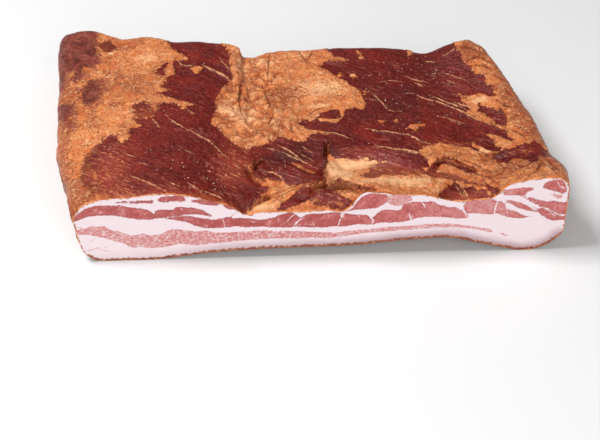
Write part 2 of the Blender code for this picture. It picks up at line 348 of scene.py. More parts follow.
def rounded_block(lattice):
    """Corners in [-1, 1] to shares of the block's sizes, with every edge rounded but those of the cut."""
    half = np.array([BLOCK_LENGTH, BLOCK_DEPTH, BLOCK_THICKNESS]) / 2
    place = lattice * half
    inner = half - EDGE_RADIUS
    core = np.clip(place, -inner, inner)
    core[:, 1] = np.minimum(place[:, 1], inner[1])  # the cut keeps its corners
    out = place - core
    square = np.abs(out).max(axis=1)
    circle = np.linalg.norm(out, axis=1)
    out *= np.divide(square, circle, out=np.ones_like(circle), where=circle > 0)[:, None]
    return ((core + out) / half + 1) / 2


def slab_points(lattice):
    """Each lattice corner's place on the slab, in centimetres."""
    across, back, up = rounded_block(lattice).T
    first, last = BACK[0][0], BACK[-1][0]
    y = CUT_Y + back * (smooth_curve(BACK)(first + across * (last - first)) - CUT_Y)
    left = smooth_curve(LEFT_END)(y) + LEFT_TUCK * (1 - up) ** 2
    right = smooth_curve(RIGHT_END)(y) + RIGHT_SPREAD * (1 - up)
    x = left + across * (right - left)
    bottom = underside_height(x, y)
    z = bottom + up * (top_height(x, y) - bottom)
    return np.stack([x, y, z], axis=1)


# %% [markdown]
# ## A dense skin with a plain underside
#
# A divided cube gives an even skin of squares that one formula can push into shape, corner by corner.  A
# millimetre between corners is fine enough for ragged fat and narrow cracks.  Nobody sees the underside
# closely, so its squares are joined into larger ones, and the triangles are spent on the top.

# %% The lattice
CELLS = (320, 170, 35)  # cells along X, Y and Z
JOINED = 5  # cells of the underside that are joined each way


def side_squares(corner, u_count, v_count):
    """Squares over one side of the lattice; corner(u, v) numbers its corners."""
    u, v = np.meshgrid(np.arange(u_count), np.arange(v_count), indexing="ij")
    round_square = [corner(u, v), corner(u + 1, v), corner(u + 1, v + 1), corner(u, v + 1)]
    return np.stack(round_square, axis=-1).reshape(-1, 4)


def joined_squares(corner, u_count, v_count):
    """Larger squares that keep every corner along the rim of the side."""
    faces = []
    for u in range(0, u_count, JOINED):
        for v in range(0, v_count, JOINED):
            ends_u, ends_v = (u, u + JOINED), (v, v + JOINED)
            up = range(*ends_v) if u == 0 else [v]
            along = range(*ends_u) if ends_v[1] == v_count else [u]
            down = range(ends_v[1], v, -1) if ends_u[1] == u_count else [ends_v[1]]
            back = range(ends_u[1], u, -1) if v == 0 else [ends_u[1]]
            rim = [(u, b) for b in up] + [(a, ends_v[1]) for a in along]
            rim += [(ends_u[1], b) for b in down] + [(a, v) for a in back]
            faces.append([int(corner(a, b)) for a, b in rim])
    return faces


def lattice_skin():
    """Corners from -1 to 1, the faces round them, and which side each face is on: crust, cut or rind."""
    nx, ny, nz = CELLS

    def number(i, j, k):
        return (i * (ny + 1) + j) * (nz + 1) + k

    top = side_squares(lambda u, v: number(u, v, nz), nx, ny)
    cut = side_squares(lambda u, v: number(u, 0, v), nx, nz)
    back = side_squares(lambda u, v: number(u, ny, v), nx, nz)[:, ::-1]
    right = side_squares(lambda u, v: number(nx, u, v), ny, nz)
    left = side_squares(lambda u, v: number(0, u, v), ny, nz)[:, ::-1]
    rind = joined_squares(lambda u, v: number(u, v, 0), nx, ny)
    crust = np.concatenate([top, back, right, left])
    faces = crust.tolist() + cut.tolist() + rind
    side = np.repeat([0, 1, 2], [len(crust), len(cut), len(rind)])

    used, renumbered = np.unique(np.concatenate([np.ravel(f) for f in faces]), return_inverse=True)
    breaks = np.cumsum([len(f) for f in faces])[:-1]
    faces = [f.tolist() for f in np.split(renumbered, breaks)]
    i, rest = np.divmod(used, (ny + 1) * (nz + 1))
    j, k = np.divmod(rest, nz + 1)
    return np.stack([i / nx, j / ny, k / nz], axis=1) * 2 - 1, faces, side


lattice, faces, side_of_face = lattice_skin()
points = slab_points(lattice)
mesh = bpy.data.meshes.new("bacon")
mesh.from_pydata(points, [], faces)
print(len(points), "corners,", len(faces), "faces")

# %% [markdown]
# ## From a pixel to the slab
#
# A mark on the top lies where a sight line meets the top's height, which a few steps of guess and correction
# find.  A mark on the cut lies where the sight line meets the plane of the cut.

# %% Marks on the top and on the cut
FIRST_GUESS = 4.4  # of the height of a mark on the top
GUESSES = 12
FAR = 0.6  # beyond this a distance no longer matters, in centimetres
LINE_TIP = 0.35  # the width of a drawn line at its two tips, as a share of its full width
LINE_TAPER = 0.3  # the share of its course over which it narrows at each end


def on_top(pixels):
    """Where the sight lines through these pixels meet the top, as (x, y)."""
    sight = sight_lines(pixels)
    z = np.full(len(sight), FIRST_GUESS)
    for _ in range(GUESSES):
        place = EYE + sight * ((z - EYE[2]) / sight[:, 2])[:, None]
        z += 0.5 * (top_height(place[:, 0], place[:, 1]) - z)  # half of the error at a time is safe
    return place[:, :2]


def on_cut(pixels):
    """Where the sight lines through these pixels meet the cut, as (x, z)."""
    sight = sight_lines(pixels)
    return (EYE + sight * ((CUT_Y - EYE[1]) / sight[:, 1])[:, None])[:, ::2]


def inside(outline, x, y):
    """Signed distance to a closed outline, positive inside and no more than FAR either way."""
    result = np.full(x.shape, -FAR)
    low, high = outline.min(axis=0) - FAR, outline.max(axis=0) + FAR
    near = (x > low[0]) & (x < high[0]) & (y > low[1]) & (y < high[1])
    px, py = x[near], y[near]
    away, within = np.full(px.shape, FAR), np.zeros(px.shape, bool)
    for (ax, ay), (bx, by) in zip(outline, np.roll(outline, -1, axis=0)):
        along = ((px - ax) * (bx - ax) + (py - ay) * (by - ay)) / ((bx - ax) ** 2 + (by - ay) ** 2)
        t = np.clip(along, 0, 1)
        away = np.minimum(away, np.hypot(px - ax - t * (bx - ax), py - ay - t * (by - ay)))
        if ay != by:
            within ^= ((ay > py) != (by > py)) & (px < ax + (py - ay) * (bx - ax) / (by - ay))
    result[near] = np.where(within, away, -away)
    return result


def joined(outlines, where, x, y):
    """Signed distance to all of these outlines together."""
    return np.max([inside(where(outline), x, y) for outline in outlines], axis=0)


def nearest_line(lines, where, x, y):
    """For each place: signed distance from the nearest (width, pixels) line, plain distance, and width."""
    side, far, wide = np.full(x.shape, FAR), np.full(x.shape, FAR), np.zeros(x.shape)
    for width, pixels in lines:
        path = where(pixels)
        low, high = path.min(axis=0) - FAR, path.max(axis=0) + FAR
        near = np.flatnonzero((x > low[0]) & (x < high[0]) & (y > low[1]) & (y < high[1]))
        px, py = x[near], y[near]
        for i, (start, end) in enumerate(zip(path[:-1], path[1:])):
            step = (end - start) / np.linalg.norm(end - start)
            off_x, off_y = px - start[0], py - start[1]
            t = np.clip((off_x * step[0] + off_y * step[1]) / np.linalg.norm(end - start), 0, 1)
            along = t * np.linalg.norm(end - start)
            away = np.hypot(off_x - along * step[0], off_y - along * step[1])
            closer = away < far[near]
            chosen = near[closer]
            far[chosen] = away[closer]
            side[chosen] = (step[0] * off_y - step[1] * off_x)[closer]
            full = both_ends((i + t) / (len(path) - 1), LINE_TAPER)
            wide[chosen] = width * (LINE_TIP + (1 - LINE_TIP) * full)[closer]
    return np.stack([side, far, wide], axis=1)


# %% [markdown]
# ## Fat and lean on the top
#
# The top is read patch by patch.  Lean patches have ragged outlines, so each outline here is only the
# course of the edge: a distance to it goes onto the mesh, and noise in the material frays it later.

# %% Outlines of the lean and the fat, in pixels
LEAN_PATCHES = {
    "left": [
        (169, 34), (169, 42), (171, 48), (178, 52), (184, 55), (188, 58), (184, 60), (176, 60), (171, 61),
        (173, 66), (174, 74), (167, 77), (165, 83), (160, 86), (168, 88), (158, 92), (164, 95), (172, 97),
        (177, 100), (186, 101), (192, 104), (186, 106), (184, 110), (180, 107), (174, 104), (163, 102),
        (158, 105), (157, 111), (152, 116), (145, 118), (133, 119), (140, 125), (132, 127), (128, 131),
        (129, 136), (127, 140), (123, 143), (119, 141), (117, 137), (112, 136), (104, 137), (100, 144),
        (97, 150), (90, 155), (88, 160), (89, 166), (95, 171), (97, 180), (98, 187), (103, 192), (112, 197),
        (110, 210), (200, 210), (243, 218), (246, 210), (251, 203), (257, 197), (263, 193), (267, 188),
        (262, 184), (256, 180), (250, 174), (247, 168), (250, 160), (246, 150), (236, 144), (232, 142),
        (222, 133), (216, 126), (212, 122), (213, 112), (216, 109), (214, 100), (218, 96), (222, 88),
        (226, 85), (232, 79), (231, 72), (229, 62), (229, 54), (226, 49), (220, 42), (219, 34),
    ],
    "middle": [
        (240, 150), (250, 149), (255, 146), (264, 144), (270, 140), (283, 137), (288, 139), (303, 142),
        (307, 139), (312, 134), (320, 133), (330, 134), (329, 146), (328, 158), (326, 168), (327, 177),
        (318, 182), (310, 185), (290, 186), (282, 180), (270, 180), (258, 178), (250, 171), (245, 162),
    ],
    "right": [
        (330, 40), (326, 50), (335, 56), (349, 60), (340, 63), (325, 62), (319, 66), (330, 72), (338, 78),
        (346, 81), (350, 85), (356, 88), (360, 92), (363, 97), (365, 102), (363, 108), (352, 108),
        (344, 111), (342, 118), (335, 123), (325, 121), (318, 120), (310, 122), (302, 120), (297, 123),
        (308, 129), (320, 131), (329, 134), (329, 146), (329, 155), (334, 158), (345, 158), (365, 158),
        (392, 164), (405, 168), (418, 170), (431, 167), (427, 160), (420, 154), (418, 150), (422, 146),
        (430, 144), (440, 143), (455, 145), (468, 147), (476, 150), (486, 153), (501, 151), (500, 147),
        (492, 139), (486, 134), (492, 133), (500, 136), (508, 139), (513, 139), (508, 134), (503, 130),
        (497, 126), (488, 123), (478, 119), (466, 113), (470, 108), (462, 105), (469, 104), (460, 100),
        (459, 96), (452, 94), (459, 93), (463, 95), (480, 94), (488, 96), (495, 97), (492, 92), (491, 86),
        (484, 84), (484, 80), (480, 75), (474, 72), (470, 66), (464, 61), (461, 56), (457, 50), (455, 46),
        (452, 38),
    ],
    "right_stripe": [
        (478, 104), (485, 106), (493, 110), (502, 111), (506, 113), (508, 120), (506, 125), (500, 126),
        (495, 123), (492, 118), (486, 115), (479, 110),
    ],
    "right_band": [
        (490, 154), (496, 152), (502, 150), (510, 147), (520, 144), (527, 143), (535, 142), (545, 146),
        (553, 155), (545, 157), (540, 156), (537, 161), (531, 162), (526, 159), (512, 158), (508, 162),
        (500, 162), (493, 158),
    ],
    "curl_hollow": [(321, 113), (330, 110), (336, 109), (341, 112), (341, 117), (335, 119), (326, 119),
                    (318, 118)],
    "back_corner": [(441, 54), (447, 50), (453, 47), (459, 45), (456, 49), (450, 53), (444, 56)],
    "curl_rim": [(427, 174), (430, 165), (436, 158), (446, 156), (456, 159), (466, 164), (476, 172),
                 (468, 173), (457, 168), (448, 164), (441, 164), (437, 168), (434, 176)],
    "front_mound": [
        (308, 200), (311, 196), (315, 194), (322, 192), (330, 192), (341, 195), (350, 198), (354, 201),
        (354, 205), (350, 208), (342, 209), (335, 208), (322, 206), (312, 205),
    ],
    "fold_streak": [
        (333, 182), (325, 184), (317, 186), (311, 186), (304, 189), (296, 193), (289, 198), (282, 204),
        (276, 210), (282, 211), (290, 208), (297, 205), (304, 203), (310, 198), (314, 194), (321, 190),
        (327, 187),
    ],
    # lean in the hollow under the flap, which smoke spots darken further as painted shade
    "under_flap": [
        (332, 181), (340, 181), (352, 185), (364, 189), (372, 192), (362, 194), (350, 192), (340, 190),
        (330, 193), (322, 193), (327, 187),
    ],
    "cut_corner": [
        (447, 184), (453, 182), (458, 184), (463, 188), (472, 186), (478, 190), (483, 190), (487, 194),
        (494, 197), (486, 201), (470, 206), (455, 205), (446, 202), (438, 195), (442, 191), (445, 188),
    ],
    "cut_streak": [(483, 182), (490, 184), (498, 190), (500, 193), (493, 192), (486, 187)],
    "island": [(133, 106), (138, 102), (146, 103), (149, 107), (146, 111), (140, 112)],
    "spot": [(166, 60), (169, 61), (166, 66), (163, 70), (165, 74), (160, 75), (157, 72), (160, 67),
             (163, 63)],
}
FAT_ISLANDS = {
    "flake": [(191, 69), (196, 66), (202, 65), (200, 69), (197, 73), (193, 71)],
    "sliver": [(293, 163), (300, 165), (307, 169), (314, 172), (316, 174), (310, 173), (303, 170),
               (297, 167)],
    "blotch": [(406, 128), (411, 124), (417, 124), (426, 124), (419, 127), (415, 130), (410, 127)],
    "light_lip": [(470, 141), (474, 142), (480, 147), (486, 150), (495, 151), (501, 151), (495, 153),
                  (486, 152), (478, 149), (472, 145)],
    "spot_by_streak": [(350, 73), (355, 72), (357, 77), (352, 78)],
    "spot_high": [(337, 73), (341, 71), (341, 76), (338, 76)],
    "spot_middle": [(362, 90), (367, 91), (365, 93)],
    "back_flecks": [(356, 50), (361, 52), (364, 58), (360, 59), (357, 55)],
    "rim_flecks": [(405, 48), (411, 49), (413, 54), (409, 57), (406, 53)],
    "crumb_left": [(379, 119), (384, 119), (383, 123), (380, 122)],
    "crumb_right": [(392, 119), (397, 118), (396, 122)],
    "mound_edge": [(310, 204), (314, 199), (318, 197), (319, 200), (314, 203)],
    "under_seam": [(336, 191), (346, 192), (355, 193), (346, 196), (340, 195)],
}
MEMBRANES = {
    "corner": [
        (50, 45), (56, 34), (70, 26), (80, 24), (95, 24), (97, 40), (99, 50), (99, 58), (97, 64), (92, 68),
        (86, 70), (82, 76), (78, 80), (74, 83), (70, 80), (73, 72), (68, 74), (66, 80), (62, 88), (59, 92),
        (50, 96),
    ],
    "patch": [(87, 80), (95, 79), (101, 83), (103, 92), (101, 99), (95, 103), (88, 106), (82, 105),
              (78, 98), (80, 90), (84, 84)],
    "side": [(50, 100), (66, 101), (75, 104), (74, 112), (68, 118), (72, 126), (66, 124), (60, 118),
             (50, 116)],
}
LEAN_FILMS = {  # lean so thin that the fat under it shows
    "left": [(112, 138), (118, 141), (108, 152), (99, 162), (93, 172), (97, 182), (104, 194), (94, 197),
             (84, 186), (80, 172), (84, 158), (92, 148), (100, 142)],
    "flap": [(358, 176), (368, 171), (371, 165), (386, 161), (401, 166), (422, 169), (436, 171), (448, 173),
             (466, 179), (486, 186), (478, 187), (460, 181), (445, 178), (425, 175), (401, 175), (385, 175),
             (371, 179)],
    "island": [(133, 112), (142, 108), (154, 108), (158, 113), (150, 117), (138, 118)],
    "high": [(98, 44), (110, 42), (118, 48), (112, 52), (102, 52)],
}

# %% Strands that cross the lean, and cracks, each a width in centimetres and a course in pixels
STRANDS = {
    "left": [
        (0.15, [(203, 65), (207, 67), (215, 71), (222, 74), (228, 79), (231, 84)]),
        (0.06, [(220, 59), (224, 64), (229, 69)]),
        (0.07, [(177, 60), (181, 64), (186, 66), (191, 66), (194, 62)]),
        (0.09, [(150, 117), (155, 121), (158, 125)]),
        (0.09, [(169, 118), (175, 122), (180, 125), (186, 129)]),
        (0.10, [(190, 130), (196, 134), (202, 137), (208, 140), (213, 145), (219, 151), (225, 156)]),
        (0.06, [(186, 108), (191, 112), (196, 114)]),
        (0.05, [(121, 153), (127, 154), (134, 156)]),
        (0.07, [(127, 174), (135, 177), (143, 180), (152, 184), (158, 187), (164, 190)]),
        (0.05, [(139, 162), (144, 163), (148, 165)]),
        (0.06, [(169, 182), (174, 184), (178, 186)]),
        (0.04, [(182, 149), (188, 152), (194, 156)]),
        (0.12, [(189, 183), (195, 187), (199, 190)]),
        (0.09, [(203, 190), (210, 193), (217, 196), (222, 199)]),
        (0.05, [(234, 163), (239, 168)]),
    ],
    "middle": [
        (0.07, [(262, 146), (272, 148), (282, 152), (292, 157), (300, 160), (308, 164), (316, 168)]),
        (0.04, [(296, 151), (305, 156), (312, 160), (318, 164)]),
        (0.08, [(265, 171), (272, 172), (279, 175), (282, 178)]),
    ],
    "right": [
        (0.10, [(409, 93), (415, 94), (421, 97), (430, 100), (438, 102), (448, 106), (458, 110), (466, 114),
                (475, 118), (484, 122), (494, 126)]),
        (0.08, [(455, 103), (463, 106), (470, 107), (476, 107)]),
        (0.06, [(366, 88), (372, 93), (377, 98), (383, 104), (388, 109), (394, 110), (399, 110)]),
        (0.05, [(380, 81), (390, 80), (400, 81)]),
        (0.07, [(406, 76), (412, 79), (420, 81), (426, 82)]),
        (0.10, [(415, 83), (422, 86)]),
        (0.05, [(444, 72), (450, 74), (457, 77), (464, 80)]),
        (0.09, [(425, 61), (432, 62)]),
        (0.08, [(440, 57), (447, 54), (452, 50), (457, 47)]),
        (0.05, [(438, 116), (447, 118), (457, 121), (465, 123)]),
        (0.09, [(300, 127), (310, 130), (320, 132), (335, 133), (344, 136), (352, 139)]),
        (0.20, [(376, 145), (385, 148), (395, 150), (405, 151), (418, 153), (425, 153)]),
        (0.11, [(366, 128), (372, 129), (378, 131), (385, 131), (400, 134), (408, 135), (415, 138),
                (420, 141), (428, 143)]),
    ],
    "front": [
        (0.08, [(462, 187), (466, 193), (470, 200)]),
        (0.05, [(453, 183), (458, 189), (462, 195)]),
    ],
}
SECOND_STRANDS = {
    "middle": [
        (0.09, [(279, 145), (286, 149), (294, 154), (300, 159)]),
        (0.04, [(300, 145), (308, 150), (314, 154)]),
    ],
    "right": [
        (0.08, [(430, 95), (437, 98), (443, 101), (452, 104), (462, 108), (470, 112), (478, 116)]),
        (0.05, [(375, 97), (381, 102), (388, 106)]),
        (0.05, [(445, 79), (452, 82), (460, 85)]),
        (0.04, [(447, 119), (455, 122), (463, 125)]),
    ],
}
CRACKS = {
    "middle_fat": [
        (0.11, [(242, 80), (240, 90), (239, 98), (240, 110)]),
        (0.06, [(269, 54), (268, 64), (268, 74), (267, 84)]),
        (0.06, [(298, 51), (302, 57), (306, 62), (314, 64)]),
        (0.06, [(312, 51), (310, 57), (307, 61)]),
        (0.07, [(262, 86), (266, 96), (270, 104), (266, 112)]),
        (0.06, [(290, 123), (291, 130), (294, 134)]),
        (0.08, [(266, 127), (270, 119), (273, 112)]),
        (0.08, [(308, 115), (315, 110), (323, 108)]),
    ],
    "front": [
        (0.12, [(327, 141), (326, 150), (327, 157)]),
        (0.04, [(437, 165), (443, 163), (452, 164), (460, 168)]),
        (0.05, [(316, 178), (300, 184), (285, 190), (270, 197), (252, 205)]),
        (0.04, [(322, 181), (305, 187), (292, 192), (278, 199)]),
        (0.12, [(477, 139), (484, 142), (491, 146), (499, 150)]),
        (0.08, [(470, 143), (474, 148), (481, 152), (490, 154), (498, 153)]),
        (0.12, [(332, 180), (340, 181), (352, 185), (364, 189), (374, 192)]),
        (0.12, [(262, 161), (256, 165), (255, 170), (258, 175), (264, 179)]),
        (0.06, [(247, 213), (252, 207), (260, 202), (268, 197)]),
        (0.14, [(334, 181), (342, 184), (352, 188), (362, 191)]),
    ],
    "right_rim": [
        (0.13, [(457, 46), (466, 48), (473, 50), (481, 54)]),
        (0.12, [(470, 59), (478, 57), (488, 60)]),
        (0.10, [(477, 65), (484, 66), (491, 69)]),
        (0.09, [(484, 73), (492, 75), (500, 79)]),
        (0.10, [(506, 90), (508, 92), (511, 95)]),
        (0.12, [(497, 101), (504, 105), (512, 107), (520, 108)]),
        (0.07, [(508, 120), (514, 116), (521, 117)]),
        (0.08, [(512, 130), (519, 133), (526, 139)]),
        (0.12, [(503, 178), (511, 177), (519, 174), (527, 175), (534, 173)]),
        (0.10, [(541, 164), (536, 172)]),
        (0.08, [(545, 165), (551, 168), (556, 174)]),
        (0.08, [(482, 152), (489, 157), (498, 162), (504, 168)]),
        (0.07, [(462, 160), (472, 163), (482, 168), (492, 171)]),
        (0.07, [(468, 170), (478, 175), (488, 177), (497, 183)]),
        (0.06, [(446, 150), (456, 152), (466, 155)]),
        (0.10, [(476, 156), (484, 160), (492, 161)]),
        (0.10, [(510, 173), (519, 168), (528, 165), (536, 160)]),
        (0.09, [(522, 181), (531, 177), (541, 173)]),
        (0.10, [(546, 159), (552, 165), (560, 172)]),
        (0.08, [(494, 176), (504, 172), (513, 167)]),
    ],
    "left_rim": [(0.09, [(88, 199), (92, 193)]), (0.06, [(92, 186), (97, 183)])],
}
ROLLS = [  # narrow rounded folds, each a half width, a rise and a course in pixels
    (0.26, 0.16, [(252, 209), (262, 204), (275, 199), (290, 192), (305, 186), (320, 180), (333, 175)]),
    (0.12, 0.10, [(262, 163), (272, 161), (284, 164), (296, 170), (306, 176)]),
    (0.10, 0.09, [(268, 170), (280, 172), (292, 176), (304, 181)]),
    (0.15, 0.14, [(304, 203), (311, 196), (324, 194), (336, 198), (348, 203)]),
    (0.10, 0.09, [(309, 206), (322, 202), (334, 205)]),
    (0.10, 0.09, [(332, 143), (350, 144), (370, 147), (392, 152), (412, 158)]),
    (0.08, 0.07, [(334, 148), (352, 148), (374, 151), (396, 157), (416, 163)]),
    (0.10, 0.09, [(336, 153), (356, 154), (378, 158), (400, 164), (420, 169)]),
    (0.12, 0.10, [(249, 160), (251, 168), (256, 176), (264, 182)]),
    (0.12, 0.12, [(431, 171), (434, 162), (440, 158), (449, 159), (458, 163), (468, 167)]),
    (0.12, 0.08, [(380, 186), (386, 182), (393, 182), (396, 187), (391, 191)]),
    (0.18, 0.14, [(462, 50), (474, 53), (486, 60)]),
    (0.16, 0.12, [(470, 62), (481, 62), (492, 68)]),
    (0.16, 0.12, [(482, 78), (491, 77), (502, 84)]),
    (0.20, 0.12, [(488, 97), (498, 98), (510, 104)]),
    (0.20, 0.10, [(505, 113), (513, 111), (521, 116)]),
    (0.14, 0.10, [(505, 180), (518, 176), (532, 177), (545, 171)]),
    (0.14, 0.10, [(528, 168), (538, 164), (546, 161)]),
    (0.13, 0.10, [(512, 177), (522, 172), (533, 169), (541, 165)]),
    (0.12, 0.09, [(500, 174), (509, 170), (518, 165)]),
    (0.13, 0.12, [(232, 52), (234, 62), (236, 72), (237, 84), (238, 95)]),
    (0.20, 0.08, [(336, 166), (350, 162), (366, 160), (380, 162)]),
    (0.10, 0.08, [(318, 103), (328, 101), (338, 101)]),
    (0.09, 0.08, [(344, 98), (352, 100), (356, 106), (350, 112), (342, 114)]),
    (0.16, 0.24, [(327, 156), (324, 163), (324, 170), (327, 177)]),
    (0.15, 0.12, [(300, 54), (315, 58), (330, 61), (342, 62)]),
    (0.14, 0.10, [(250, 66), (262, 62), (268, 70), (262, 80)]),
]

# %% [markdown]
# Smoke and drying leave slow changes of colour that no outline follows.  Each is a soft spot: a place in
# pixels, how far it reaches along X and along Y in centimetres, and how strong it is.  Some spots paint light
# and shade: the smoke spots also paint shade in hollows, such as under the flap, the brown spots paint shade
# under folds and in dips of the fat, the pale spots paint highlights on the flap and small glints, and the
# mauve spots paint a sheen on the lean.  The spots named "neat" are no colour: there the edges of fat and
# lean keep their drawn course and are frayed less.

# %% Soft spots of colour, and of painted light and shade
SOFT_SPOTS = {
    # smoky mottling of the lean, and painted shade in hollows: under the flap, in the slit and under
    # overhanging ends
    "smoke_and_shade": [
        (172, 160, 2.2, 1.8, 0.3), (195, 48, 2.0, 0.6, 0.3), (258, 190, 0.8, 0.5, 0.5),
        (300, 150, 2.0, 1.2, 0.9), (425, 66, 1.2, 1.2, 0.8), (400, 100, 3.0, 1.6, 0.7),
        (500, 156, 0.5, 0.5, 0.8), (350, 187, 1.4, 0.5, 1.0), (330, 150, 0.3, 0.8, 0.6),
        (318, 202, 0.8, 0.3, 0.5), (380, 120, 2.0, 1.0, 0.4), (280, 158, 1.8, 0.5, 0.6),
    ],
    # mauve tint of the lean, and a painted sheen on it along the strip and the flap's film
    "mauve_and_sheen": [
        (200, 135, 1.2, 0.5, 0.8), (215, 163, 0.8, 0.6, 0.8), (460, 78, 1.8, 1.4, 0.5),
        (380, 155, 2.6, 0.5, 1.0), (330, 198, 1.0, 0.4, 0.8), (85, 90, 1.0, 1.0, 0.3),
        (290, 172, 1.6, 0.6, 0.5), (395, 168, 1.5, 0.4, 0.9), (495, 117, 0.8, 0.5, 0.7),
        (110, 150, 1.0, 0.8, 0.5),
    ],
    "blush": [
        (108, 172, 1.2, 2.2, 1.1), (236, 165, 1.0, 1.6, 0.9), (180, 197, 4.0, 0.5, 0.9),
        (450, 144, 2.0, 0.3, 0.7), (405, 172, 2.0, 0.3, 0.6), (525, 150, 1.2, 0.4, 0.5),
        (300, 190, 1.2, 0.4, 0.6), (140, 108, 0.8, 0.4, 0.6), (466, 196, 1.4, 0.4, 0.9),
        (460, 175, 1.6, 0.4, 0.5), (368, 150, 2.4, 0.3, 0.5), (224, 172, 1.2, 1.6, 0.3),
        (332, 201, 1.3, 0.3, 0.6), (150, 188, 3.0, 0.6, 0.4),
    ],
    # paler fat, and painted highlights: on top of the flap, on the light lip and in small white glints
    "pale_and_highlight": [
        (350, 164, 2.0, 0.5, 1.5), (350, 75, 0.4, 0.15, 1.0), (110, 54, 0.2, 0.15, 1.5),
        (322, 88, 1.8, 0.9, 0.8), (240, 66, 0.4, 0.8, 0.8), (262, 208, 0.8, 0.4, 1.0),
        (486, 150, 0.9, 0.2, 1.0), (480, 100, 0.8, 0.4, 0.8), (320, 106, 0.8, 0.2, 0.8),
        (145, 56, 1.0, 0.8, 0.4), (300, 56, 0.8, 0.3, 0.6), (90, 140, 0.8, 0.6, 0.5),
        (250, 118, 1.2, 1.0, 0.5), (262, 64, 0.8, 0.6, 0.6), (400, 184, 2.6, 0.5, 0.55),
        (548, 168, 0.3, 0.3, 0.8), (222, 108, 0.6, 0.8, 0.5), (290, 66, 1.2, 0.6, 0.4),
        (130, 115, 1.0, 0.8, 0.4), (150, 60, 1.0, 0.6, 0.4), (470, 170, 0.8, 0.4, 0.4),
        (385, 180, 2.6, 0.4, 0.6), (340, 173, 0.9, 0.5, 1.1), (240, 112, 0.8, 0.8, 0.5),
    ],
    "neat": [
        (350, 160, 2.5, 0.6, 0.8), (450, 164, 1.6, 0.6, 0.8), (330, 200, 1.6, 0.6, 0.7),
        (300, 196, 1.6, 0.7, 0.6), (350, 187, 1.6, 0.4, 0.7), (468, 194, 2.0, 0.6, 0.5),
        (285, 170, 2.0, 0.8, 0.5), (330, 112, 1.2, 0.5, 0.6), (486, 150, 1.2, 0.4, 0.6),
        (400, 172, 2.5, 0.5, 0.6),
    ],
    # browner fat, and painted shade under the flap's lip and in dips of the fat
    "brown_and_shade": [
        (284, 94, 1.3, 0.7, 1.6), (62, 150, 0.5, 3.0, 1.0), (118, 46, 0.9, 0.5, 1.2),
        (510, 168, 2.2, 0.6, 1.3), (400, 197, 3.5, 0.2, 1.2), (528, 122, 0.9, 2.2, 1.7),
        (545, 160, 1.4, 0.9, 1.5), (75, 120, 1.2, 0.8, 0.8), (470, 50, 1.2, 0.8, 2.0),
        (130, 90, 1.8, 1.4, 0.9), (78, 180, 1.2, 2.0, 0.8), (275, 48, 0.8, 0.3, 0.5),
        (502, 80, 0.7, 2.0, 1.2), (110, 75, 2.4, 1.2, 0.5), (66, 95, 0.7, 1.4, 0.8),
        (348, 192, 1.3, 0.25, 1.0), (82, 197, 1.2, 0.8, 0.9), (460, 155, 1.6, 0.5, 0.6),
        (130, 48, 1.0, 0.6, 0.5), (270, 130, 1.4, 0.5, 0.4),
    ],
}


def soft_spots(name, x, y):
    """How strongly the spots of this name work at each place."""
    spots = SOFT_SPOTS[name]
    centres = on_top([spot[:2] for spot in spots])
    total = np.zeros(x.shape)
    for (cx, cy), (_, _, reach_x, reach_y, strength) in zip(centres, spots):
        total += strength * np.exp(-(((x - cx) / reach_x) ** 2) - ((y - cy) / reach_y) ** 2)
    return total


# %% [markdown]
# ## Fat and lean on the cut
#
# The knife shows the belly's layers: rind, back fat, a thin lacy streak of lean, fat again, the main band
# of lean with pale seams across it, and more fat and lean above.  Again each outline is the course of an
# edge.

